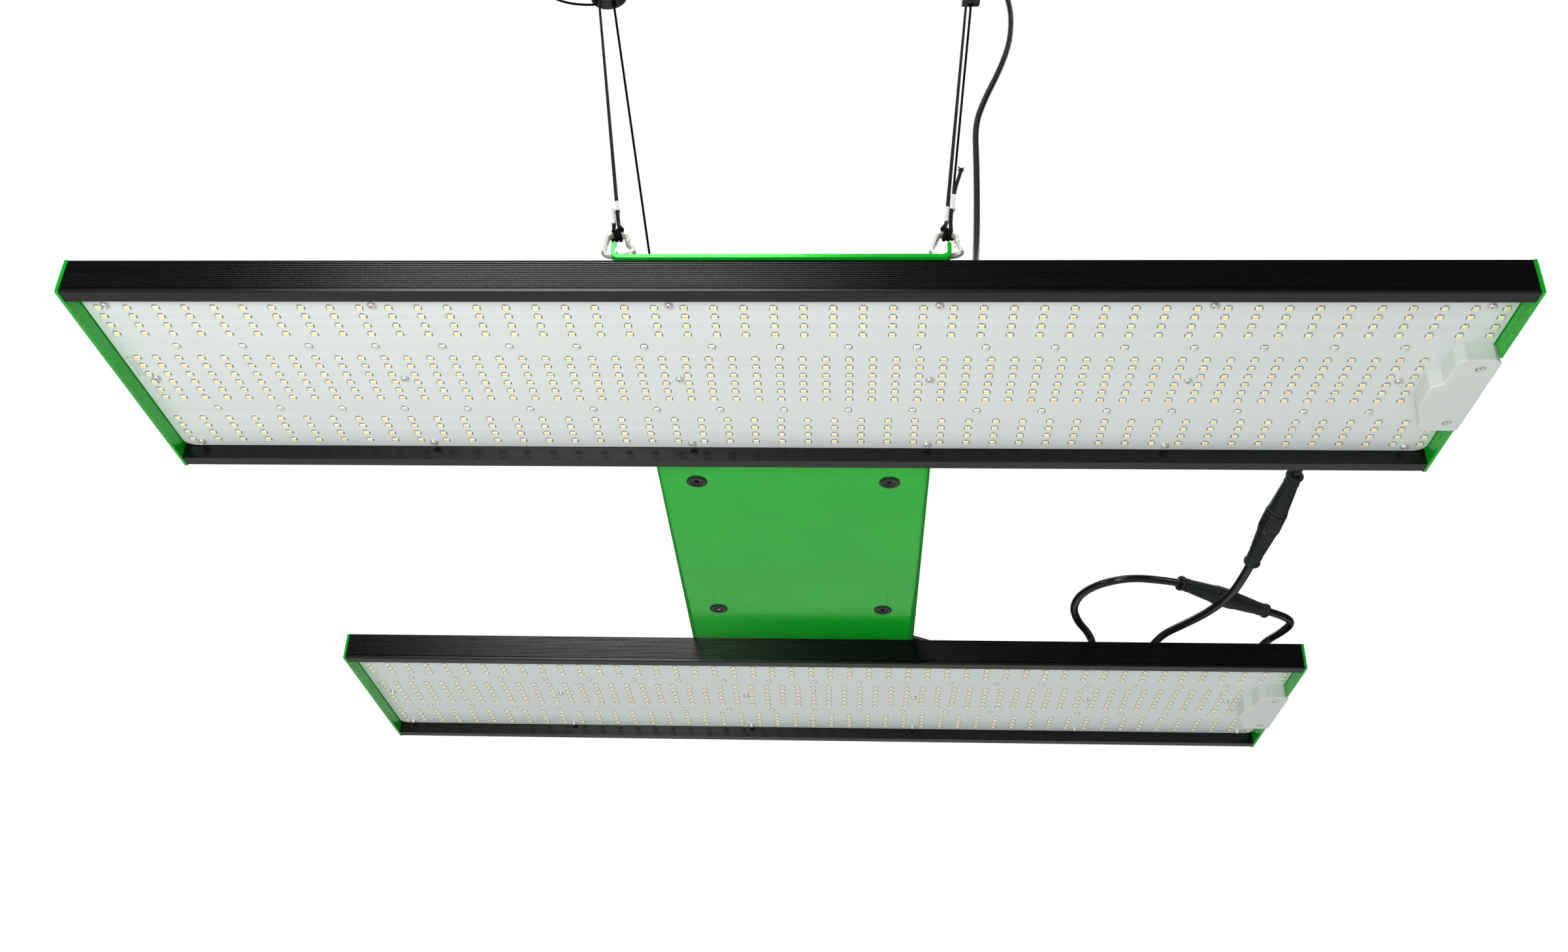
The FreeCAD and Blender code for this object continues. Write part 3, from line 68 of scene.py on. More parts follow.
def make_camera():
    """The camera below and in front of the lamp, looking up at both boards."""
    azimuth, elevation, roll = (math.radians(a) for a in CAMERA_TURN)
    forward = Vector((math.sin(azimuth) * math.cos(elevation),
                      math.cos(azimuth) * math.cos(elevation), math.sin(elevation)))
    right = Vector((math.cos(azimuth), -math.sin(azimuth), 0.0))
    up = right.cross(forward)
    across = right * math.cos(roll) + up * math.sin(roll)
    upward = up * math.cos(roll) - right * math.sin(roll)
    turn = Matrix((across, upward, -forward)).transposed()
    data = bpy.data.cameras.new("camera")
    data.sensor_width = 36.0
    data.lens = LENS
    data.clip_start = 0.05
    data.clip_end = 60.0
    camera = bpy.data.objects.new("camera", data)
    camera.matrix_world = Matrix.Translation(CAMERA_PLACE) @ turn.to_4x4()
    bpy.context.scene.collection.objects.link(camera)
    bpy.context.scene.camera = camera


# ---- materials ----
def linear(r, g, b):
    """A display colour, 0 to 255, as scene-linear numbers."""
    light = [((c / 255 + 0.055) / 1.055) ** 2.4 if c > 10 else c / 255 / 12.92 for c in (r, g, b)]
    return (*light, 1.0)


class Look:
    """A node material being built: a Principled shader with patterns in object space."""

    def __init__(self, name, rough, metal=0.0, **sockets):
        self.made = bpy.data.materials.new(name)
        self.made.use_nodes = True
        self.tree = self.made.node_tree
        self.shader = self.tree.nodes["Principled BSDF"]
        self.shader.inputs["Roughness"].default_value = rough
        self.shader.inputs["Metallic"].default_value = metal
        for key, value in sockets.items():
            self.shader.inputs[key.replace("_", " ")].default_value = value
        self.normal = None

    def node(self, kind, **settings):
        """A new shader node with its properties or input values set."""
        node = self.tree.nodes.new("ShaderNode" + kind)
        for key, value in settings.items():
            if hasattr(node, key):
                setattr(node, key, value)
            else:
                node.inputs[key.replace("_", " ")].default_value = value
        return node

    def link(self, out, into):
        """Joins an output socket to an input socket."""
        self.tree.links.new(out, into)

    def noise(self, scale, stretch=(1, 1, 1), detail=4.0, distortion=0.0):
        """Noise in object space, as an output socket."""
        place = self.node("TexCoord")
        mapping = self.node("Mapping")
        mapping.inputs["Scale"].default_value = stretch
        noise = self.node("TexNoise", Scale=scale, Detail=detail, Distortion=distortion)
        self.link(place.outputs["Object"], mapping.inputs["Vector"])
        self.link(mapping.outputs["Vector"], noise.inputs["Vector"])
        return noise.outputs["Fac"]

    def ramp(self, value, low, high, to_low, to_high):
        """A value mapped from one range to another, as an output socket."""
        node = self.node("MapRange")
        limits = {"From Min": low, "From Max": high, "To Min": to_low, "To Max": to_high}
        for key, number in limits.items():
            node.inputs[key].default_value = number
        self.link(value, node.inputs["Value"])
        return node.outputs["Result"]

    def colours(self, value, stops):
        """A colour ramp over a value; it feeds the base colour."""
        node = self.node("ValToRGB")
        while len(node.color_ramp.elements) < len(stops):
            node.color_ramp.elements.new(0.5)
        for element, (place, colour) in zip(node.color_ramp.elements, stops):
            element.position = place
            element.color = colour
        self.link(value, node.inputs["Fac"])
        self.link(node.outputs["Color"], self.shader.inputs["Base Color"])
        return node.outputs["Color"]

    def rough(self, value, low, high):
        """Roughness that follows a value between two limits."""
        self.link(self.ramp(value, 0.3, 0.7, low, high), self.shader.inputs["Roughness"])

    def bump(self, value, depth, strength=1.0):
        """Adds a bump of that depth in metres to the ones already there."""
        node = self.node("Bump", Strength=strength)
        node.inputs["Distance"].default_value = depth
        self.link(value, node.inputs["Height"])
        if self.normal:
            self.link(self.normal, node.inputs["Normal"])
        self.normal = node.outputs["Normal"]
        self.link(self.normal, self.shader.inputs["Normal"])


def shade(colour, factor):
    """A colour made lighter or darker."""
    return tuple(c * factor for c in colour[:3]) + (1.0,)


def finish_look(name, colour, rough, metal=0.0, change=0.12, cloud=25.0, stretch=(1, 1, 1), grain=0.0,
                grain_scale=1500.0, polish=0.06, **sockets):
    """The usual finish: clouded colour, uneven gloss and a fine grain."""
    look = Look(name, rough, metal, **sockets)
    clouds = look.noise(cloud, stretch)
    look.colours(clouds, [(0.3, shade(colour, 1 - change)), (0.7, shade(colour, 1 + change))])
    look.rough(look.noise(cloud * 6, stretch), max(0.03, rough - polish), min(1.0, rough + polish))
    if grain:
        look.bump(look.noise(grain_scale, stretch, 2.0), grain)
    return look


def bar_looks(add):
    """Rails, coated steel and the boards' mask."""
    rail = add("black_anodised", (0.0018, 0.0023, 0.0023, 1), 0.26, 0.0, cloud=8.0,
               stretch=(0.3, 6, 6), Specular_IOR_Level=0.3, polish=0.03)
    rail.bump(rail.noise(240.0, (0.012, 3, 3), 3.0), 0.00002)
    green = add("green_coat", (0.002, 0.43, 0.018, 1), 0.2, 0.3, change=0.05, cloud=12.0,
                Coat_Weight=0.12, Coat_Roughness=0.05, polish=0.02, Specular_IOR_Level=0.3)
    green.bump(green.noise(520.0, detail=1.0), 0.00006)
    green.bump(green.noise(2600.0, detail=1.0), 0.00001)
    board = add("board_white", linear(214, 221, 218), 0.4, change=0.03, cloud=160.0,
                stretch=(0.006, 1, 1), Coat_Weight=0.5, Coat_Roughness=0.2)
    tracks = board.noise(330.0, (0.006, 1, 1), 2.0)
    board.bump(tracks, 0.00004)


def led_looks(add):
    """Emitters, their solder and the board's print."""
    add("led_body", linear(252, 249, 222), 0.4, change=0.03, cloud=300.0, grain=0.00001)
    add("solder", (0.72, 0.73, 0.74, 1), 0.28, 1.0, cloud=400.0, grain=0.00002, grain_scale=3000.0)
    add("gold_wire", linear(196, 160, 92), 0.3, 1.0, cloud=500.0)
    tints = {"white": ((244, 230, 118), (248, 238, 142), (234, 216, 96)),
             "warm": ((246, 216, 124), (240, 202, 106), (244, 226, 126))}
    for kind, shades in tints.items():
        for letter, tint in zip("abc", shades):
            add("phosphor_%s_%s" % (kind, letter), linear(*tint), 0.3, change=0.06, cloud=1200.0,
                grain=0.00001, grain_scale=4000.0, Coat_Weight=0.5, Coat_Roughness=0.1)
    add("board_print", linear(74, 80, 80), 0.6, change=0.15, cloud=900.0)


def hard_looks(add):
    """Metals and moulded parts."""
    add("bare_aluminium", (0.62, 0.63, 0.64, 1), 0.38, 0.9, change=0.08, cloud=10.0,
        stretch=(0.2, 5, 5), grain=0.00002, grain_scale=500.0)
    chrome = add("bright_steel", (0.70, 0.69, 0.65, 1), 0.3, 0.65, change=0.10, cloud=160.0,
                 grain=0.00001, grain_scale=900.0)
    chrome.bump(chrome.noise(2400.0, (1, 1, 0.1), 2.0), 0.000004)
    add("black_screw", (0.004, 0.004, 0.0045, 1), 0.2, 0.0, cloud=200.0, grain=0.00001,
        grain_scale=2500.0, Specular_IOR_Level=0.35)
    cover = add("cover_white", linear(213, 219, 214), 0.36, change=0.02, cloud=30.0, Coat_Weight=0.1,
                Subsurface_Weight=0.05)
    cover.bump(cover.noise(1100.0, detail=1.0), 0.00002)
    add("terminal_green", linear(38, 120, 66), 0.42, cloud=120.0, grain=0.00002)
    driver = add("driver_black", (0.011, 0.0115, 0.012, 1), 0.46, 0.1, cloud=20.0,
                 Specular_IOR_Level=0.35)
    driver.bump(driver.noise(1500.0, detail=2.0), 0.00004)
    add("circuit_green", linear(26, 92, 52), 0.4, cloud=90.0, grain=0.00002)
    add("gland_black", (0.014, 0.014, 0.015, 1), 0.44, cloud=150.0, grain=0.00002, grain_scale=2200.0)
    block = add("block_plastic", (0.016, 0.016, 0.017, 1), 0.45, cloud=60.0)
    block.bump(block.noise(1700.0, detail=2.0), 0.00005)
    add("wheel_plastic", linear(205, 205, 198), 0.4, cloud=120.0, grain=0.00002)
    add("lever_black", (0.014, 0.014, 0.014, 1), 0.34, cloud=140.0, grain=0.00002)


def cord_looks(add):
    """Connectors, jackets, the strap, the sleeves and the clear lenses."""
    add("connector_rubber", (0.0055, 0.008, 0.0095, 1), 0.5, cloud=120.0, grain=0.00003,
        grain_scale=2600.0, Specular_IOR_Level=0.25)
    add("nut_plastic", (0.005, 0.0055, 0.006, 1), 0.36, cloud=150.0, grain=0.00002,
        Specular_IOR_Level=0.25)
    lead = add("lead_jacket", (0.003, 0.0045, 0.0045, 1), 0.2, cloud=40.0, Specular_IOR_Level=0.28)
    lead.bump(lead.noise(420.0, (1, 1, 1), 3.0), 0.00004)
    mains = add("mains_jacket", (0.002, 0.006, 0.0055, 1), 0.36, cloud=40.0, Specular_IOR_Level=0.07)
    mains.bump(mains.noise(420.0, (1, 1, 1), 3.0), 0.00005)
    add("plug_black", (0.012, 0.0125, 0.0125, 1), 0.4, cloud=80.0, grain=0.00003, grain_scale=2000.0)
    add("plug_pins", (0.76, 0.66, 0.42, 1), 0.25, 1.0, cloud=200.0, grain=0.00001)
    add("strap_fabric", (0.014, 0.014, 0.015, 1), 0.85, cloud=300.0, grain=0.0002, grain_scale=1600.0,
        Sheen_Weight=0.35)
    add("sleeve_white", linear(206, 210, 206), 0.34, change=0.08, cloud=260.0, grain=0.00004,
        grain_scale=900.0, Coat_Weight=0.1)
    dome = add("lens_clear", linear(216, 220, 222), 0.08, change=0.05, cloud=900.0, Coat_Weight=1.0,
               Coat_Roughness=0.04)
    dome.shader.inputs["Transmission Weight"].default_value = 0.35


def rope_look():
    """Braided black polypropylene, with painted shade that darkens it between the strands, and fine
    filaments.
    """
    look = Look("rope_black", 0.62, Specular_IOR_Level=0.04)
    # Painted shade: the braid's strand height darkens the colour in the grooves between strands and
    # leaves their crowns lighter.
    height = look.node("Attribute", attribute_name="strand")
    filaments = look.noise(5200.0, detail=2.0)
    mixed = look.node("Math", operation="MULTIPLY")
    look.link(height.outputs["Fac"], mixed.inputs[0])
    look.link(look.ramp(filaments, 0.3, 0.7, 0.7, 1.0), mixed.inputs[1])
    look.colours(mixed.outputs[0], [(0.0, (0.001, 0.001, 0.001, 1)), (0.5, (0.004, 0.004, 0.0045, 1)),
                                    (1.0, (0.011, 0.011, 0.012, 1))])
    look.rough(look.noise(600.0), 0.5, 0.72)
    look.bump(filaments, 0.00008)
    return look


def make_looks():
    """Every material by its name."""
    made = {}

    def add(name, *args, **extra):
        made[name] = finish_look(name, *args, **extra)
        return made[name]

    for group in (bar_looks, led_looks, hard_looks, cord_looks):
        group(add)
    made["rope_black"] = rope_look()
    return {name: look.made for name, look in made.items()}


# ---- mesh helpers ----
class Shell:
    """Vertices and faces being gathered for one piece."""

    def __init__(self):
        self.points = []
        self.faces = []
        self.looks = []
        self.count = 0

    def add(self, points, faces, look=0):
        """Adds faces over their points; look is one index or one for each face."""
        points = np.asarray(points, float).reshape(-1, 3)
        self.points.append(points)
        self.faces += [tuple(int(i) + self.count for i in face) for face in faces]
        self.looks += list(look) if hasattr(look, "__len__") else [look] * len(faces)
        self.count += len(points)

    def join(self, other, look=0):
        """Adds the faces of a shell made in one go, all with one look."""
        self.add(other.points[0], other.faces, look)

    def repeat(self, other, places, choose=None):
        """Adds a copy of another shell at each place; choose(look, copy) may pick another look."""
        points = np.concatenate(other.points)
        for copy, place in enumerate(places):
            looks = [choose(look, copy) for look in other.looks] if choose else other.looks
            self.add(points + np.asarray(place, float), other.faces, looks)

    def turned(self, matrix):
        """The same shell through a 4 by 4 matrix."""
        other = Shell()
        m = np.array(matrix, float)
        points = np.concatenate(self.points) @ m[:3, :3].T + m[:3, 3]
        other.add(points, self.faces, self.looks)
        return other

    def piece(self, name, looks, body="lamp", slot=None, smooth=35.0, replaces=(), strand=None):
        """The finished piece, riding on its body. Edges sharper than smooth degrees stay crisp."""
        mesh = bpy.data.meshes.new(name)
        mesh.from_pydata(np.concatenate(self.points).tolist(), [], self.faces)
        mesh.materials.clear()
        for look in looks:
            mesh.materials.append(LOOKS[look])
        mesh.polygons.foreach_set("material_index", np.array(self.looks, np.int32))
        if strand is not None:
            # The strand attribute holds the braid height that the rope's painted shade reads.
            mesh.attributes.new("strand", "FLOAT", "POINT").data.foreach_set("value", strand)
        mesh.validate()
        mesh.shade_smooth()
        mesh.set_sharp_from_angle(angle=math.radians(smooth))
        made = bpy.data.objects.new(name, mesh)
        bpy.context.scene.collection.objects.link(made)
        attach(made, body)
        if replaces:
            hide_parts(*replaces)
        return made


def rings_to_shell(rings, looks=None, cap_first=True, cap_last=True):
    """A skin over rings of the same number of points; looks gives one look for each band."""
    shell = Shell()
    size = len(rings[0])
    faces = []
    bands = []
    for band in range(len(rings) - 1):
        for i in range(size):
            j = (i + 1) % size
            low, high = band * size, (band + 1) * size
            faces.append((low + i, low + j, high + j, high + i))
            bands.append(looks[band] if looks else 0)
    if cap_first:
        faces.append(tuple(reversed(range(size))))
        bands.append(looks[0] if looks else 0)
    if cap_last:
        faces.append(tuple(range((len(rings) - 1) * size, len(rings) * size)))
        bands.append(looks[-1] if looks else 0)
    shell.add(np.concatenate([np.asarray(r, float) for r in rings]), faces, bands)
    return shell


def lathe(profile, segments=32, looks=None):
    """A turned shell about Z from (radius, height) pairs in mm, both ends closed."""
    angles = np.arange(segments) * 2 * math.pi / segments
    circle = np.stack([np.cos(angles), np.sin(angles), np.zeros(segments)], 1)
    rings = []
    for radius, height in profile:
        rings.append(circle * max(radius, 0.01) * MM + np.array([0, 0, height * MM]))
    return rings_to_shell(rings, looks)


def aim(start, way):
    """A placement with Z along way, at start."""
    return Matrix.Translation(start) @ Vector(way).to_track_quat("Z", "Y").to_matrix().to_4x4()


def rounded(width, depth, radii, steps=3):
    """A rectangle with a radius for each corner, as points in mm."""
    points = []
    for corner, radius in enumerate(radii if hasattr(radii, "__len__") else [radii] * 4):
        sx, sy = ((1, 1), (-1, 1), (-1, -1), (1, -1))[corner]
        centre = (sx * (width / 2 - radius), sy * (depth / 2 - radius))
        for step in range(steps + 1):
            angle = math.radians(90 * corner + 90 * step / steps)
            points.append((centre[0] + radius * math.cos(angle),
                           centre[1] + radius * math.sin(angle), 0))
    return np.array(points)


def stacked(outlines, looks=None):
    """A skin over (outline points in mm, height in mm) pairs."""
    rings = [(points + np.array([0, 0, height])) * MM for points, height in outlines]
    return rings_to_shell(rings, looks)


# ---- cords ----
def nurbs(name, points, radius=0.0):
    """A curve of one open NURBS spline with the route's points as control points."""
    curve = bpy.data.curves.new(name, "CURVE")
    curve.dimensions = "3D"
    spline = curve.splines.new("NURBS")
    spline.points.add(len(points) - 1)
    for point, place in zip(spline.points, points):
        point.co = (*place, 1.0)
    spline.order_u = 3
    spline.use_endpoint_u = True
    curve.resolution_u = 10
    curve.bevel_depth = radius
    curve.bevel_resolution = 5
    curve.use_fill_caps = True
    return curve


def line_of(points):
    """The points of a route's own smooth line."""
    curve = nurbs("line", points)
    bare = bpy.data.objects.new("line", curve)
    mesh = bpy.data.meshes.new_from_object(bare)
    line = np.array([v.co for v in mesh.vertices], float)
    bpy.data.meshes.remove(mesh)
    bpy.data.curves.remove(curve)
    return line


def length_of(line):
    """A line's length in metres."""
    return float(np.linalg.norm(np.diff(line, axis=0), axis=1).sum())


def even(line, step):
    """The line again with points evenly spaced along it."""
    along = np.concatenate([[0], np.cumsum(np.linalg.norm(np.diff(line, axis=0), axis=1))])
    spots = np.linspace(0, along[-1], max(2, int(along[-1] / step) + 1))
    return np.stack([np.interp(spots, along, line[:, k]) for k in range(3)], 1)


def frames_along(line):
    """Tangent and two normals at each point, turning as little as they can."""
    tangents = np.gradient(line, axis=0)
    tangents /= np.linalg.norm(tangents, axis=1)[:, None]
    first = np.cross(tangents[0], (0.31, 0.87, 0.38))
    normal = first / np.linalg.norm(first)
    normals = []
    for tangent in tangents:
        normal = normal - tangent * normal.dot(tangent)
        normal /= np.linalg.norm(normal)
        normals.append(normal)
    normals = np.array(normals)
    return tangents, normals, np.cross(tangents, normals)


# A rope: strands each way, points around it, a crossing's length and the spacing of its rings.
ROPE = 2.5
CELLS = 5
AROUND = 20
CELL_LONG = 2.3
BRAID_STEP = 0.55


def around(side, other, angles):
    """Rings of unit directions across a line, one ring for each of its points."""
    cosines = side[:, None, :] * np.cos(angles)[None, :, None]
    return cosines + other[:, None, :] * np.sin(angles)[None, :, None]


class Rope(Shell):
    """Braided rope: two sets of strands that cross over and under."""

    def __init__(self):
        super().__init__()
        self.crease_shade_heights = []

    def braid(self, route, radius=ROPE / 2 * MM):
        """Braids a rope along a route's smooth line and returns that line."""
        line = even(line_of(route), BRAID_STEP * MM)
        _, side, other = frames_along(line)
        along = np.arange(len(line)) * BRAID_STEP / CELL_LONG
        angles = np.arange(AROUND) * 2 * math.pi / AROUND
        turn = angles * CELLS / (2 * math.pi)
        u = turn[None, :] + along[:, None]
        v = turn[None, :] - along[:, None]
        over = (np.floor(u) + np.floor(v)) % 2
        rise_u = np.abs(np.sin(math.pi * u))
        rise_v = np.abs(np.sin(math.pi * v))
        height = np.where(over > 0.5, rise_u ** 0.9 * rise_v ** 0.35, rise_u ** 0.35 * rise_v ** 0.9)
        reach = radius * (0.87 + 0.17 * height)
        reach[0] *= 0.6
        reach[-1] *= 0.6
        points = line[:, None, :] + around(side, other, angles) * reach[:, :, None]
        self.join(rings_to_shell(list(points)))
        # The strand height is kept for the rope's painted shade between strands.
        self.crease_shade_heights.append(height.ravel())
        return line

    def tied(self, name, *nodes):
        """The finished piece of rope."""
        return self.piece(name, ["rope_black"], smooth=60, replaces=nodes,
                          strand=np.concatenate(self.crease_shade_heights))


def lead_curve(name, points, diameter, look, *nodes):
    """A smooth jacketed lead that stands for its CAD tubes."""
    curve = nurbs(name, points, diameter / 2 * MM)
    curve.materials.append(LOOKS[look])
    made = bpy.data.objects.new(name, curve)
    bpy.context.scene.collection.objects.link(made)
    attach(made, "lamp")
    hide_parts(*nodes)
    return made


# ---- harness hooks, ropes and sleeves ----
HOOK_X = {"left": -100.4, "right": 95.0}
HOOK_Y = {"front": 7.0, "rear": 749.0}
HOOK_SEAT_Z = 31.9
WHEEL_Z = 672.75
ON_WHEEL = 7.25
MOUTH_Z = -19.6
EYE_TOP = 54.0
STRAND = 1.35
BLOCK_SPOTS = {"left": (-212.8, 378.0), "right": (160.0, 378.0)}
ANCHOR_OUT = {"left": -5.0, "right": 5.0}
# The corner whose rope end stands free, and that end's tip and filaments' radius.
TAIL_CORNER = ("front", "right")
TAIL_TIP = (-5.8, 0.4, 163.0)
FILAMENT = 0.32
# Each sleeve: its place beside the hook's axis, its ends along it and its radius.
SLEEVES = ((STRAND, 80.0, 97.0, 1.95), (-1.95, 56.0, 84.0, 1.7))
TAIL_SLEEVES = ((1.95, 80.0, 108.0, 1.9), (-1.4, 56.0, 84.0, 1.7))


def leg_mouth(end, side):
    """Where a harness leg enters its block."""
    if end == "rear":
        return block_point(side, ON_WHEEL, 0, MOUTH_Z)
    return block_point(side, -ON_WHEEL, ANCHOR_OUT[side], MOUTH_Z)


def hook_place(end, side):
    """Placement of a corner hook: its local Z runs along it, towards the block its leg enters."""
    seat = Vector(at(HOOK_X[side], HOOK_Y[end], HOOK_SEAT_Z))
    way = (leg_mouth(end, side) - seat).normalized()
    across = (Vector((1, 0, 0)) - way * way.x).normalized()
    turn = Matrix((across, way.cross(across), way)).transposed().to_4x4()
    return Matrix.Translation(seat) @ turn


def hook_point(end, side, x, y, z):
    """A point given in a corner hook's own millimetres."""
    return hook_place(end, side) @ (Vector((x, y, z)) * MM)


def block_place(side):
    """Placement of a ratchet block; the right one is turned a quarter round."""
    place = Matrix.Translation(at(*BLOCK_SPOTS[side], WHEEL_Z))
    if side == "left":
        return place
    return place @ Matrix.Rotation(math.radians(90), 4, "Z")


def block_point(side, x, y, z):
    """A point given in a block's own millimetres."""
    return block_place(side) @ (Vector((x, y, z)) * MM)


def strand_side(end, side):
    """Side of an eye's strand that runs on to the block: left where the free end stands right."""
    return -1 if (end, side) == TAIL_CORNER else 1


def leg_points(end, side):
    """Control points of a harness leg, from its hook to inside its block."""
    start = hook_point(end, side, STRAND * strand_side(end, side), 0, EYE_TOP + 0.1)
    mouth = leg_mouth(end, side)
    if end == "front":
        rest = [block_point(side, -ON_WHEEL, ANCHOR_OUT[side], -9.0)]
    else:
        turns = ((1, 1), (-1, 1), (-1, -1))
        rest = [block_point(side, across * ON_WHEEL, 0, high * ON_WHEEL) for across, high in turns]
    way = (mouth - start).normalized()
    return [start, mouth - way * 15 * MM, mouth] + rest


def wound_rope(end, side):
    """The rope's round turns on a hook's bow, as a line from the standing part to the working end."""
    points = [(1.35, 0, 58), (1.35, -1.2, 50), (1.6, -3.2, 43)]
    reach = 3.35
    middle = 36.0
    turns = 2.5
    steps = 30
    for step in range(steps + 1):
        share = step / steps
        angle = math.pi + share * turns * 2 * math.pi
        x = 3.4 - 6.4 * share
        points.append((x, reach * math.cos(angle), middle - reach * math.sin(angle)))
    points += [(-2.6, 3.3, 42.5), (-2, 1.6, 49), (-1.5, 0.3, 55), (-1.4, 0, 62),
               (-1.35, 0, 78)]
    if (end, side) == TAIL_CORNER:
        points += [(-1.9, 0, 92), (-2.1, 0.1, 108), (-2.7, 0.2, 122), (-3.7, 0.4, 137),
                   (-4.9, 0.5, 151), TAIL_TIP]
    return [hook_point(end, side, strand_side(end, side) * x, y, z) for x, y, z in points]


def sleeve_shell(end, side):
    """The heat-shrunk sleeves of one leg, slightly lumpy over the rope they grip."""
    shell = Shell()
    steps = 22
    for offset, low, high, radius in TAIL_SLEEVES if (end, side) == TAIL_CORNER else SLEEVES:
        profile = []
        for step in range(steps + 1):
            share = step / steps
            taper = min(1.0, 0.72 + 4.0 * min(share, 1 - share))
            lump = 0.04 * math.sin(9.0 * share * math.pi) + 0.02 * random.uniform(-1, 1)
            profile.append((radius * taper + lump, low + (high - low) * share))
        place = hook_place(end, side) @ Matrix.Translation((offset * MM, 0, 0))
        shell.join(lathe(profile, 20).turned(place))
    return shell


def frayed_tip(end, side, rope):
    """Loose filaments at a cut rope end."""
    x, y, z = TAIL_TIP
    base = hook_point(end, side, -x, y, z - 0.5)
    for _ in range(34):
        spread = [random.uniform(-2.4, 2.4), random.uniform(-1.8, 1.8), random.uniform(0.4, 3.0)]
        tip = hook_point(end, side, -x + spread[0], y + spread[1], z - 0.5 + spread[2])
        middle = (base + tip) / 2 + Vector((0, 0, 0.6 * MM))
        line = even(line_of([base, middle, tip]), 1.2 * MM)
        _, one, two = frames_along(line)
        angles = np.arange(5) * 2 * math.pi / 5
        made = rings_to_shell(list(line[:, None, :] + around(one, two, angles) * FILAMENT * MM))
        rope.join(made)
        # Loose filaments get a high strand height, so the painted shade leaves them lighter.
        rope.crease_shade_heights.append(np.full(made.count, 0.8))


def make_harness():
    """The four legs with their eyes, sleeves and stopper knots."""
    for side in ("left", "right"):
        for end in ("front", "rear"):
            corner = end + "_" + side
            eye = Rope()
            eye.braid(wound_rope(end, side))
            if (end, side) == TAIL_CORNER:
                frayed_tip(end, side, eye)
            with_pieces = [eye.tied("rope_turns_" + corner, "rope_eyes"),
                           sleeve_shell(end, side).piece("heat_shrink_" + corner, ["sleeve_white"],
                                                         replaces=["rope_sleeves"])]
            leg = Rope()
            line = leg.braid(leg_points(end, side))
            piece = leg.tied("harness_" + corner, "rope_" + corner)
            if end == "front":
                with_pieces.append(stopper_knot(side))


def stopper_knot(side):
    """An overhand stopper knot inside a block's mouth."""
    centre = block_point(side, -ON_WHEEL, ANCHOR_OUT[side], -10.4)
    points = []
    for step in range(27):
        t = math.radians(30 + step * 12)
        points.append(centre + Vector((math.sin(t) + 2 * math.sin(2 * t),
                                       math.cos(t) - 2 * math.cos(2 * t),
                                       -1.1 * math.sin(3 * t))) * 0.75 * MM)
    knot = Rope()
    knot.braid(points, 0.9 * MM)
    return knot.tied("stopper_knot_" + side, "rope_knots")


HITCH_RADIUS = 4.5
HITCH_STEPS = 29
# The leaning leg of the ceiling hook: its foot's Y and Z in the block's frame, and its slope.
SPINE_FOOT = (-13.95, 48.25)
SPINE_SLOPE = 0.0944


def hitch_points():
    """The tail's hitch: from its end, two and a half turns round the hook's leg, and off."""
    points = [(-11, 10, 64), (-9.8, 3, 63.6), (-6.8, -5, 63.2)]
    for step in range(HITCH_STEPS):
        angle = math.radians(step * 32)
        high = 63.0 + 0.24 * step
        spine = SPINE_FOOT[0] + SPINE_SLOPE * (high - SPINE_FOOT[1])
        points.append((-HITCH_RADIUS * math.cos(angle), spine - HITCH_RADIUS * math.sin(angle),
                       high))
    return points + [(6, -8, 70.5), (8.5, -4.5, 71.5), (10.5, -2, 71)]


TAIL_ROUTE = [(-ON_WHEEL, 0, -ON_WHEEL), (-ON_WHEEL, 0, -21.3), (-24, 0, -21.5),
              (-41, 0, -18.5), (-57, 0, -11), (-67, 1, 5), (-69, 2, 27),
              (-61, 3, 48), (-44, 4, 62), (-26, 6, 66), (-11, 10, 64)]


def make_tail():
    """The free end of the left harness, tied back to its ceiling hook."""
    rope = Rope()
    line = rope.braid([block_point("left", *p) for p in TAIL_ROUTE])
    tail = rope.tied("harness_tail_left", "tail_left")
    hitch = Rope()
    hitch.braid([block_point("left", *p) for p in hitch_points()])
    tie = hitch.tied("tail_hitch_left")


# ---- leads and mains cord ----
LEAD = 6.6
MAINS = 6.0
CONNECTORS = {"near": ((359.4, 243, 20), (347.6, 338.3, -3.1)),
              "far": ((398.6, 488, 26), (315.6, 438.6, 28))}
GLAND_SPOT = (415, 105, 31.5)
GLAND_REACH = 19.0
GLAND_WAYS = {"near": (-0.42, 0.907), "far": (-0.17, -0.985)}
LEAD_ROUTES = {
    "near": [(345.2, 371, -6.6), (341.6, 406, -3.6), (336, 452, 5.4), (328, 503, 18),
             (322, 551, 31), (315, 592, 31.5), (294, 627, 30), (258, 646, 28.6),
             (216, 650, 29.4), (174, 645, 34.5), (134, 634, 43), (96, 617, 46.2),
             (61, 598, 46.8), (33, 573, 47), (14, 547, 47), (6, 513, 47)],
    "far": [(299, 431, 27), (268.5, 425, 26), (239.5, 443, 25.2), (231.5, 480, 26),
            (241, 517, 27.8), (255.5, 549, 31), (266, 583, 31.4), (253, 614, 30.4),
            (222, 630, 29.2), (184, 630, 31.4), (148, 621, 39.5), (112, 606, 45.6),
            (77, 588, 46.5), (49, 566, 46.8), (33, 543, 47), (28, 513, 47)],
}
PIGTAIL_ROUTES = {
    "near": [(393, 149, 31.4), (377, 181, 32), (366.5, 212, 30.6)],
    "far": [(418, 616, 31.6), (415, 590, 31.8), (418.5, 562, 31.6), (426.6, 537, 29.6),
            (428, 514, 27.2), (415.5, 498, 26.4)],
}
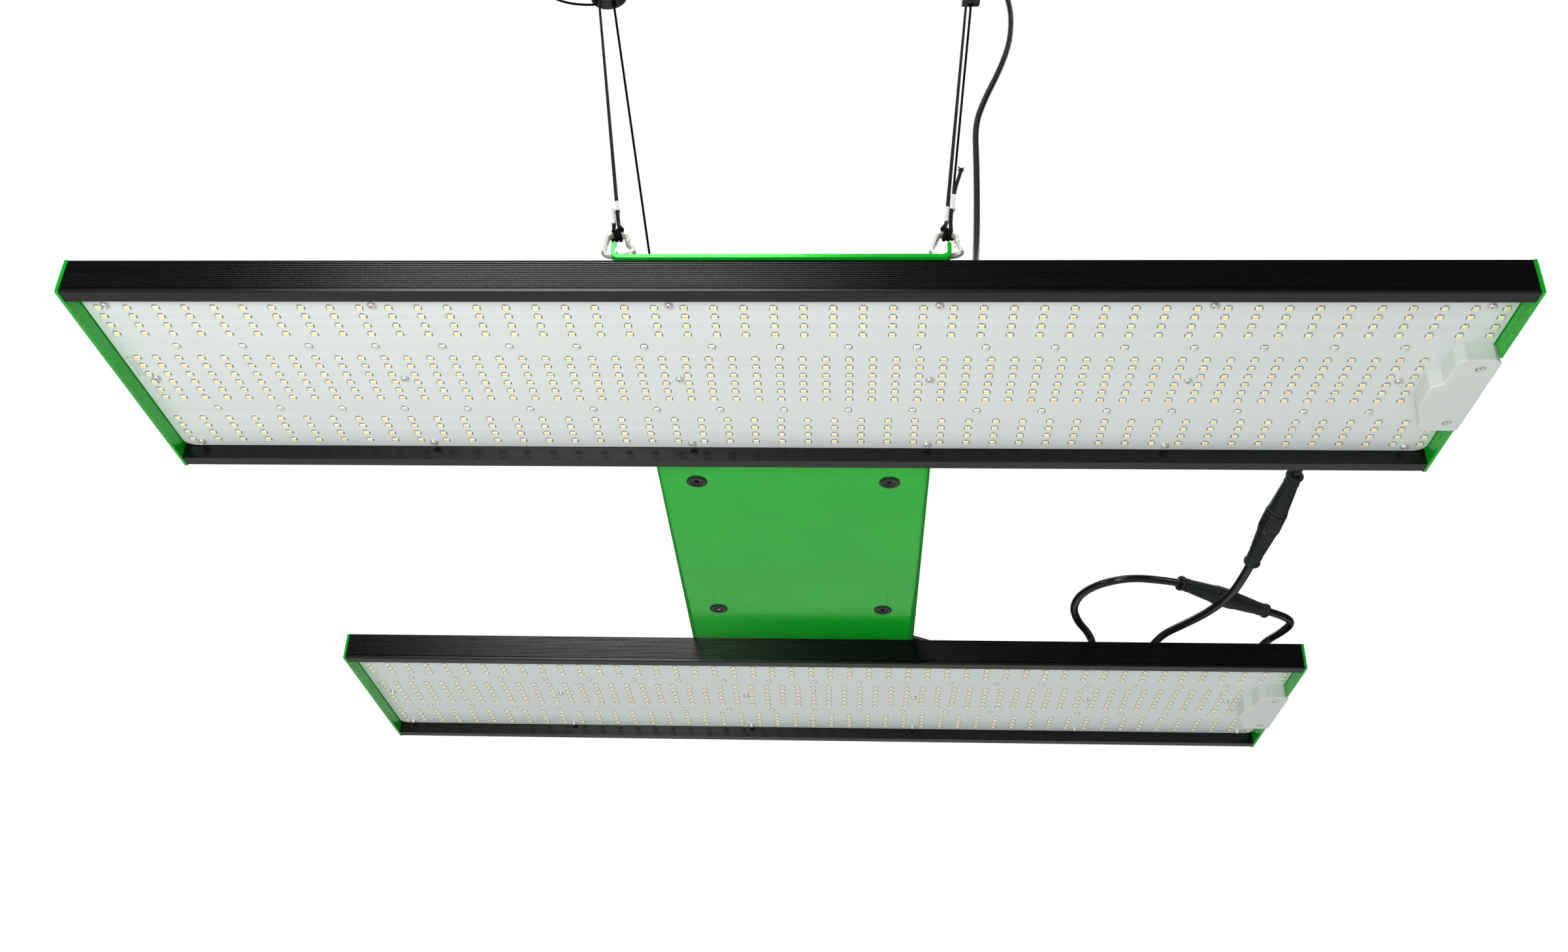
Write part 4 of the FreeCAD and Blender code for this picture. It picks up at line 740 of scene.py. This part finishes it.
MAINS_POINTS = [(48, 241, 49), (50, 222, 52.5), (60, 196, 63), (79, 180, 86), (101, 181, 116),
                (119, 203, 147), (131, 238, 181), (139, 276, 218), (144, 308, 259), (148.5, 331, 306),
                (152, 345, 362), (154.5, 356, 420), (156, 365, 473), (168, 375, 516), (186, 392, 570),
                (200.5, 411, 627), (207, 430, 684), (206.5, 443, 726), (202, 448, 752)]
COIL_CENTRE = (190, 411, 757)
COIL_RADIUS = 33.0
COIL_ENTRY = 38.0
COIL_TURNS = 4
COIL_STEPS = 16
COIL_SLOTS = [(3.1, 0.6), (3.1, -3), (-3.1, -3.2), (-3.1, 2.9), (0.4, 6.4)]
PLUG_TOP = (190, 371.6, 743)


def connector_half(points, plug):
    """One moulded half of a round connector: a flared lip, two bands and a finely ribbed cone."""
    start, end = (Vector(p) for p in points)
    way = (end - start).normalized()
    half = (end - start).length / 2
    profile = [(3.3, 0.0), (5.9, 0.0), (6.3, 0.4), (6.4, 1.6), (6.0, 2.5), (4.9, 3.3), (4.9, 4.4),
               (5.5, 4.8), (5.6, 6.2), (5.1, 6.7), (5.1, 7.4), (5.7, 7.8), (5.8, 9.2), (5.3, 9.7)]
    low, high = 10.0, half - 12.5
    ribs = 13
    for rib in range(ribs):
        place = low + (high - low) * rib / ribs
        pitch = (high - low) / ribs
        grow = 5.5 + 1.9 * (rib / ribs) ** 0.8
        profile += [(grow - 0.22, place), (grow, place + 0.25 * pitch),
                    (grow + 0.03, place + 0.62 * pitch), (grow - 0.2, place + 0.86 * pitch)]
    profile += [(7.45, high), (7.65, high + 0.5), (7.65, half - 10.4), (7.3, half - 10.0),
                (6.2, half - 9.9), (6.2, half), (3.0, half)]
    if plug:
        start, way = end, -way
    return lathe(profile, 40).turned(aim(at(*start), way))


def coupling_nut(bar):
    """The knurled coupling nut between the two halves."""
    start, end = (Vector(p) for p in CONNECTORS[bar])
    middle = (start + end) / 2
    profile = [(6.3, -9.6), (7.7, -9.6), (8.15, -9.1), (8.2, -7.6), (7.85, -7.2), (7.85, -6.9),
               (8.2, -6.5), (8.25, 6.5), (7.85, 6.9), (7.85, 7.2), (8.2, 7.6), (8.15, 9.1),
               (7.7, 9.6), (6.3, 9.6)]
    segments = 72
    angles = np.arange(segments) * 2 * math.pi / segments
    grip = np.where(np.arange(segments) % 4 < 2, 0.0, -0.38)
    rings = []
    for radius, height in profile + [(6.3, -9.6)]:
        reach = radius + (grip if abs(height) <= 6.5 and radius > 8 else 0.0)
        reach = reach * np.ones(segments)
        rings.append(np.stack([np.cos(angles) * reach, np.sin(angles) * reach,
                               np.full(segments, height)], 1) * MM)
    shell = rings_to_shell(rings, cap_first=False, cap_last=False)
    shell = shell.turned(aim(at(*middle), end - start))
    shell.piece("knurled_nut_" + bar, ["nut_plastic"], body="nut_" + bar, smooth=30,
                replaces=["coupling_nut_" + bar])


def gland_exit(bar):
    """Where a pigtail leaves its bar's elbow gland."""
    shift = Vector(FAR) if bar == "far" else Vector((0, 0, 0))
    way = Vector((*GLAND_WAYS[bar], 0.0))
    return at(*(Vector(GLAND_SPOT) + shift + way * GLAND_REACH))


def run_lead(name, route, node):
    """A lead and its cord, along a route that begins at its fixed end."""
    lead = lead_curve(name, route, LEAD, "lead_jacket", node)
    round(length_of(line_of(route)), 3)


def make_leads():
    """Pigtails, driver leads and their connectors."""
    for bar in CONNECTORS:
        coupling_nut(bar)
    for name, plug, node in (("socket_halves", False, "pigtail_sockets"),
                             ("plug_halves", True, "driver_plugs")):
        shell = Shell()
        for ends in CONNECTORS.values():
            shell.join(connector_half(ends, plug))
        shell.piece(name, ["connector_rubber"], smooth=30, replaces=[node])
    for bar, (socket_end, plug_end) in CONNECTORS.items():
        pigtail = [gland_exit(bar)] + [at(*p) for p in PIGTAIL_ROUTES[bar] + [socket_end]]
        run_lead("lamp_lead_" + bar, pigtail, "pigtail_" + bar)
        power = [at(*p) for p in [plug_end] + LEAD_ROUTES[bar]]
        run_lead("power_lead_" + bar, power[::-1], "driver_lead_" + bar)


def mains_line():
    """The mains cord's control points: up from the driver, round its coil and down into the plug."""
    points = list(MAINS_POINTS)
    last = 180.0 + 360.0 * COIL_TURNS
    steps = int((last - COIL_ENTRY) / 360.0 * COIL_STEPS)
    for step in range(steps + 1):
        angle = COIL_ENTRY + (last - COIL_ENTRY) * step / steps
        turn = (angle - COIL_ENTRY) / 360.0
        slot = min(int(turn), COIL_TURNS)
        into = turn - slot
        ease = max(0.0, min(1.0, (into - 0.75) / 0.25))
        ease = ease * ease * (3 - 2 * ease)
        here = Vector(COIL_SLOTS[slot])
        there = Vector(COIL_SLOTS[min(slot + 1, COIL_TURNS)])
        across, out = here.lerp(there, ease)
        radius = COIL_RADIUS + out
        turned = math.radians(angle)
        points.append((COIL_CENTRE[0] + across, COIL_CENTRE[1] + radius * math.cos(turned),
                       COIL_CENTRE[2] + radius * math.sin(turned)))
    x, y, top = PLUG_TOP
    points += [(x, y, top + 7.0), (x, y, top - 4.0)]
    return [at(*p) for p in points]


# The plug's outlines, top to bottom: width, depth, corner radius and height; then its pins'.
PLUG_BODY = ((10, 10, 4, -23), (15, 13, 4.5, -23.4), (19.5, 16, 5, -25.2), (21.5, 17.4, 5, -28),
             (22.2, 17.8, 5, -33), (20.6, 16.6, 4.6, -38), (21.6, 17.2, 4.6, -43),
             (22.8, 18, 4.2, -47.5), (23, 18, 4, -51), (22.2, 17.2, 3.8, -51.8),
             (21, 16, 3.4, -52))
PLUG_PIN = ((1.6, 6.4, 0.3, -51.5), (1.6, 6.4, 0.3, -67.6), (1.3, 5.6, 0.3, -68.6),
            (0.8, 4.6, 0.3, -69))
PINS_X = (-6.35, 6.35)


def tower(outlines, steps, x, y, z):
    """A skin over a table of rounded outlines, placed at a bar-frame point."""
    skin = stacked([(rounded(width, depth, radius, steps), height)
                    for width, depth, radius, height in outlines])
    return skin.turned(Matrix.Translation(at(x, y, z)))


def mains_plug():
    """A moulded two-pin plug under its ribbed strain relief."""
    x, y, top = PLUG_TOP
    profile = [(2.4, 0.6), (3.4, 0.6), (3.8, 0.2)]
    for ring in range(6):
        low = 1.5 + 3.6 * ring
        grow = 4.0 + 0.5 * ring
        profile += [(grow - 0.6, low), (grow - 0.1, low + 0.5), (grow, low + 1.0), (grow, low + 2.0),
                    (grow - 0.1, low + 2.5), (grow - 0.5, low + 2.9)]
    profile += [(6.5, 24.0), (2.0, 24.2)]
    shell = Shell()
    shell.join(lathe(profile, 32).turned(aim(at(x, y, top), (0, 0, -1))))
    shell.join(tower(PLUG_BODY, 6, x, y, top))
    for side in PINS_X:
        shell.join(tower(PLUG_PIN, 3, x + side, y, top), 1)
    return shell.piece("moulded_plug", ["plug_black", "plug_pins"], replaces=["mains_plug"])


def strap():
    """The fabric tie round the coil and the hook's leg: a woven band with a stitched overlap."""
    low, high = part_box("coil_tie")
    width, depth = (high - low)[:2]
    middle = (low + high) / 2
    shell = Shell()
    inner = rounded(width / MM - 2.6, depth / MM - 2.6, 2.0, 8)
    outer = rounded(width / MM - 0.2, depth / MM - 0.2, 3.0, 8)
    tall = (high.z - low.z) / MM
    rings = []
    for points, height in ((inner, -tall / 2 + 0.2), (outer, -tall / 2), (outer * 1.004, -tall / 4),
                           (outer * 0.998, 0.0), (outer * 1.004, tall / 4), (outer, tall / 2),
                           (inner, tall / 2 - 0.2), (inner, -tall / 2 + 0.2)):
        rings.append((points + np.array([0, 0, height])) * MM)
    band = rings_to_shell(rings, cap_first=False, cap_last=False)
    shell.join(band.turned(Matrix.Translation(middle)))
    flap = stacked([(rounded(9.0, 0.9, 0.3, 3), -tall / 2 + 0.6), (rounded(9.4, 1.1, 0.4, 3), 0.0),
                    (rounded(9.0, 0.9, 0.3, 3), tall / 2 - 0.6)])
    place = (middle.x + 3 * MM, low.y - 0.1 * MM, middle.z)
    shell.join(flap.turned(Matrix.Translation(place)))
    return shell.piece("coil_strap", ["strap_fabric"], replaces=["coil_tie"])


def make_mains():
    """The mains cord with its coil, plug and strap."""
    points = mains_line()
    cord = lead_curve("mains_flex", points, MAINS, "mains_jacket", "mains_cord", "cord_coil")
    plug = mains_plug()
    strap()


# ---- LEDs, screws and printed marks ----
WHITE = (np.linspace(-424.5, 426.8, 48),
         (30.5, 39.5, 49.0, 58.1, 157.7, 166.7, 175.9, 185.3))
WARM = (np.concatenate([[-422.4], np.linspace(-410.0, 396.8, 55)]),
        (84.9, 94.0, 103.5, 112.8, 122.0, 131.4))
RED = (np.linspace(-391.2, 380.6, 19), (71.4, 144.7))
SCREW_ROWS = {27: (-419, -253, -71, 92, 255, 417),
              107.2: (-419, -253, -72, 90, 255, 388),
              187.4: (-419, -253, -71, 92, 255, 417)}


def spots(pattern):
    """Places of a pattern on both boards, in metres."""
    columns, rows = pattern
    return [np.array(at(x + dx, y + dy, BOARD_LOW))
            for dx, dy, _ in BARS for y in rows for x in columns]


def led_shell():
    """One surface-mount LED, lens down: body, cup, phosphor and solder fillets."""
    outer = rounded(3.5, 2.8, (0.12, 0.12, 0.12, 0.5))
    rim = rounded(3.3, 2.6, (0.12, 0.12, 0.12, 0.45))
    cup = rounded(2.9, 2.2, 0.75)
    floor = rounded(2.66, 1.96, 0.7)
    middle = rounded(1.2, 0.8, 0.35)
    shell = stacked([(outer, 0), (outer, -0.62), (rim, -0.7), (cup, -0.7), (floor, -0.58),
                     (middle, -0.63)], looks=[0, 0, 0, 0, 1])
    for side in (-1, 1):
        pad = stacked([(rounded(0.7, 2.3, 0.2, 2), 0), (rounded(0.66, 2.2, 0.2, 2), -0.1),
                       (rounded(0.36, 1.9, 0.15, 2), -0.3)])
        shell.join(pad.turned(Matrix.Translation((side * 1.72 * MM, 0, 0))), 2)
    return shell


def red_shell():
    """One domed emitter on its square base."""
    shell = Shell()
    shell.join(stacked([(rounded(3.5, 3.5, 0.3), 0), (rounded(3.5, 3.5, 0.3), -0.68),
                        (rounded(3.3, 3.3, 0.3), -0.8), (rounded(2.9, 2.9, 1.3), -0.8),
                        (rounded(2.7, 2.7, 1.2), -0.72)]))
    profile = [(1.5, -0.7), (1.5, -0.85)]
    for step in range(1, 8):
        angle = math.radians(90 * step / 7)
        profile.append((1.5 * math.cos(angle), -0.85 - 1.15 * math.sin(angle)))
    shell.join(lathe(profile, 20), 1)
    chip = rounded(1.3, 1.3, 0.1, 1)
    shell.join(stacked([(chip, -0.74), (chip, -0.86)]), 2)
    return shell


def make_leds():
    """All the emitters; the phosphor's tint varies from one to the next."""
    for kind, pattern in (("white", WHITE), ("warm", WARM)):
        places = spots(pattern)
        pick = CHANCE.choice(3, len(places), p=(0.5, 0.3, 0.2))
        shell = Shell()
        shell.repeat(led_shell(), places,
                     choose=lambda look, copy: 2 + int(pick[copy]) if look == 1 else min(look, 1))
        tints = ["phosphor_%s_%s" % (kind, letter) for letter in "abc"]
        shell.piece(kind + "_emitters", ["led_body", "solder"] + tints, slot="led_" + kind,
                    replaces=[kind + "_leds"])
    shell = Shell()
    shell.repeat(red_shell(), spots(RED))
    shell.piece("domed_emitters", ["led_body", "lens_clear", "gold_wire"], slot="led_red",
                replaces=["red_emitters"])


def cross_outline(arm, width):
    """Polar outline of a cross recess: angles and reaches."""
    corner = math.degrees(math.atan2(width, arm))
    steps = [0, corner * 0.55, corner, corner + 4, corner + 11, 36, 45, 54, 90 - corner - 11,
             90 - corner - 4, 90 - corner, 90 - corner * 0.55]
    angles, reaches = [], []
    for quarter in range(4):
        for step in steps:
            fold = min(step, 90 - step)
            t = math.radians(fold)
            reach = arm / math.cos(t) if fold <= corner + 1e-6 else width / math.sin(t)
            angles.append(math.radians(step + 90 * quarter))
            reaches.append(reach)
    return np.array(angles), np.array(reaches)


def hex_outline(apothem, count=48):
    """Polar outline of a hexagon socket."""
    angles = np.arange(count) * 2 * math.pi / count
    fold = (angles % (math.pi / 3)) - math.pi / 6
    return angles, apothem / np.cos(fold)


def headed(outline, profile, recess, shank, length):
    """A screw, head down: a turned head whose drive recess follows a polar outline."""
    angles, reaches = outline
    circle = np.stack([np.cos(angles), np.sin(angles), np.zeros(len(angles))], 1)
    rings = [circle * radius + np.array([0, 0, height])
             for radius, height in [(shank, length), (shank, 0.0)] + profile]
    top = profile[-1][1]
    edge = circle * reaches[:, None]
    for share, rise in ((1.05, -0.02), (0.97, 0.18), (0.80, recess), (0.10, recess * 1.2)):
        rings.append(edge * share + np.array([0, 0, top + rise]))
    return rings_to_shell([ring * MM for ring in rings])


def pan_screw(head, shank, length):
    """A pan-head screw of that head and shank diameter, head down."""
    high = 0.4 * head
    profile = [(0.49 * head, 0.0), (0.5 * head, -0.1), (0.495 * head, -0.3 * high),
               (0.46 * head, -0.62 * high), (0.40 * head, -0.84 * high), (0.34 * head, -0.96 * high)]
    return headed(cross_outline(0.27 * head, 0.075 * head), profile, 1.2, shank / 2, length)


def scatter(name, screw, places, look, node):
    """One piece of equal screws, each with its drive turned by chance."""
    shell = Shell()
    for place in places:
        turn = Matrix.Translation(place) @ Matrix.Rotation(random.uniform(0, 3), 4, "Z")
        shell.join(screw.turned(turn))
    shell.piece(name, [look], replaces=[node], smooth=32)


# Pan screws: head, shank, length. Flanged screw: its socket, then recess, shank radius, length.
BOARD_SCREW = (5.5, 3.0, 4.1)
COVER_SCREW = (5.5, 2.6, 13.4)
FLANGE_SOCKET = 2.0
FLANGE_SHAPE = (2.4, 3.0, 14.5)
COVER_SCREWS = ((425.5, 75.8), (426.3, 138.0))
COVER_HEAD_Z = 0.95
FEET_X = (-75.0, 68.5)
FEET_Y = (265.0, 489.0)
BRACKET_LOW = 24.0


def make_screws():
    """Board and cover screws with cross recesses; bracket screws with hexagon sockets."""
    board = [at(x + dx, y + dy, BOARD_LOW) for dx, dy, _ in BARS
             for y, row in SCREW_ROWS.items() for x in row]
    scatter("pan_head_screws", pan_screw(*BOARD_SCREW), board, "bright_steel", "board_screws")
    cover = [at(x + dx, y + dy, COVER_HEAD_Z) for dx, dy, _ in BARS for x, y in COVER_SCREWS]
    scatter("cover_pan_screws", pan_screw(*COVER_SCREW), cover, "bright_steel", "cover_screws")
    flange = [(7.6, 0.0), (7.75, -0.2), (7.7, -0.7), (7.3, -1.1), (6.7, -1.42), (6.2, -1.5),
              (5.0, -1.5), (4.6, -1.4), (4.2, -1.0), (3.8, -0.55), (3.2, -0.42)]
    feet = [at(x, y, BRACKET_LOW) for x in FEET_X for y in FEET_Y]
    screw = headed(hex_outline(FLANGE_SOCKET), flange, *FLANGE_SHAPE)
    scatter("flange_screws", screw, feet, "black_screw", "driver_screws")


def make_marks():
    """Printed outlines beside the LEDs and marks at the boards' ends, a hair proud of the mask."""
    def mark(width, depth, x, y):
        edge = rounded(width, depth, 0.04, 1)
        plate = stacked([(edge, 0.0), (edge, -0.03)])
        return plate.turned(Matrix.Translation((x * MM, y * MM, 0)))

    one = Shell()
    for side in (-1, 1):
        for width, depth, x, y in ((0.42, 3.0, 2.3, 0.0), (0.7, 0.34, 2.1, 1.6),
                                   (0.7, 0.34, 2.1, -1.6)):
            one.join(mark(width, depth, side * x, y))
    for x, width in ((-1.3, 0.7), (-0.4, 0.8), (0.5, 0.6), (1.3, 0.5)):
        one.join(mark(width, 1.1, x, -2.75))
    shell = Shell()
    shell.repeat(one, spots(WHITE) + spots(WARM) + spots(RED))
    dash = Shell()
    for row in range(12):
        dash.join(mark(random.uniform(0.6, 1.2), 0.5, random.uniform(-0.2, 0.2), row * 1.9))
    shell.repeat(dash, [np.array(at(x + dx, 84.0 + dy, BOARD_LOW)) for dx, dy, _ in BARS
                        for x in (-429.0, -429.0 + 2.6)])
    shell.piece("printed_marks", ["board_print"], slot="board_white")


# ---- CAD nodes that stay ----
KEPT = {
    "black_anodised": (["front_rails", "rear_rails"], 0.10),
    "green_coat": (["left_end_plates", "right_end_plates", "bracket"], 0.25),
    "board_white": (["led_boards"], 0.0),
    "bare_aluminium": (["heat_sinks"], 0.12),
    "cover_white": (["connector_covers"], 0.0),
    "terminal_green": (["terminal_blocks"], 0.15),
    "driver_black": (["driver_case", "driver_end_caps"], 0.25),
    "circuit_green": (["driver_circuit_board"], 0.15),
    "gland_black": (["driver_glands", "lead_glands"], 0.2),
    "black_screw": (["end_plate_screws", "driver_nuts", "bar_bolts"], 0.08),
    "block_plastic": (["block_front_shells", "block_rear_shells"], 0.2),
    "wheel_plastic": (["ratchet_wheel_left", "ratchet_wheel_right"], 0.1),
    "lever_black": (["release_lever_left", "release_lever_right"], 0.25),
    "bright_steel": (["corner_hooks", "ceiling_hooks", "gate_rivets", "block_pins", "block_screws",
                      "ceiling_gate_left", "ceiling_gate_right", "hook_gate_front_left",
                      "hook_gate_front_right", "hook_gate_rear_left", "hook_gate_rear_right"], 0.0),
}


def dress_kept():
    """Materials and softened edges for the CAD nodes that show."""
    for look, (nodes, width) in KEPT.items():
        for name in nodes:
            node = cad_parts[name]
            node.data.materials.clear()
            node.data.materials.append(LOOKS[look])
            if width:
                weld = node.modifiers.new("weld", "WELD")
                weld.merge_threshold = 0.000002
                soft = node.modifiers.new("bevel", "BEVEL")
                soft.width = width * MM
                soft.segments = 2
                soft.limit_method = "ANGLE"
                soft.angle_limit = math.radians(38)
                soft.harden_normals = True


# ---- studio ----
# Colour and strength of the surround, for everything else and for the camera.
DIM = ((0.96, 0.98, 1.0, 1), 0.06)
SEEN = ((1, 1, 1, 1), 1.0)
LAMP_MIDDLE = (0.0, 0.0, -0.75)
# Each light's place, target, width and height, and power.
LIGHTS = {
    "flash": ((-0.34, -1.25, -1.36), (0, 0, -0.77), (0.3, 0.22), 10.5),
    "softbox": ((-0.43, -1.878, 0.27), (-0.08, -0.3, -0.76), (0.8, 0.4), 13.5),
    "left": ((-2.6, -1.8, 0.2), LAMP_MIDDLE, (1, 1), 26),
    "right": ((2.6, -1.8, 0.2), LAMP_MIDDLE, (1, 1), 20),
    "wash": ((0, 2.2, 2), (0, 2.7, -2), (4.2, 3), 138),
    "above": ((0, -0.9, 2.2), (0, -0.4, -2), (3, 1.6), 40),
}


def area(name, place, target, size, power):
    """A rectangular area light that faces its target."""
    data = bpy.data.lights.new(name, "AREA")
    data.shape = "RECTANGLE"
    data.size, data.size_y = size
    data.energy = power
    light = bpy.data.objects.new(name, data)
    light.location = place
    light.rotation_mode = "QUATERNION"
    light.rotation_quaternion = (Vector(target) - Vector(place)).to_track_quat("-Z", "Y")
    bpy.context.scene.collection.objects.link(light)


def make_studio():
    """A pale floor far below, soft area lights and a white surround."""
    bpy.ops.mesh.primitive_plane_add(size=14, location=(0, 0, -2.0))
    floor = bpy.context.object
    floor.name = "floor"
    look = finish_look("floor_pale", linear(232, 232, 230), 0.75, change=0.01, cloud=1.5,
                       grain=0.0002, grain_scale=60.0)
    floor.data.materials.append(look.made)
    for name, light in LIGHTS.items():
        area(name, *light)
    make_surround()
    bpy.context.scene.view_settings.view_transform = "Standard"
    bpy.context.scene.view_settings.look = "None"


def make_surround():
    """White to the camera, and dim light to everything else."""
    world = bpy.data.worlds.new("surround")
    bpy.context.scene.world = world
    world.use_nodes = True
    tree = world.node_tree
    tree.nodes.clear()
    rays = tree.nodes.new("ShaderNodeLightPath")
    mix = tree.nodes.new("ShaderNodeMixShader")
    out = tree.nodes.new("ShaderNodeOutputWorld")
    tree.links.new(rays.outputs["Is Camera Ray"], mix.inputs["Fac"])
    for slot, (colour, strength) in enumerate((DIM, SEEN), 1):
        back = tree.nodes.new("ShaderNodeBackground")
        back.inputs["Color"].default_value = colour
        back.inputs["Strength"].default_value = strength
        tree.links.new(back.outputs[0], mix.inputs[slot])
    tree.links.new(mix.outputs[0], out.inputs["Surface"])


LOOKS = make_looks()
make_camera()
make_harness()
make_tail()
make_leads()
make_mains()
make_leds()
make_screws()
make_marks()
dress_kept()
make_studio()
bpy.context.view_layer.update()
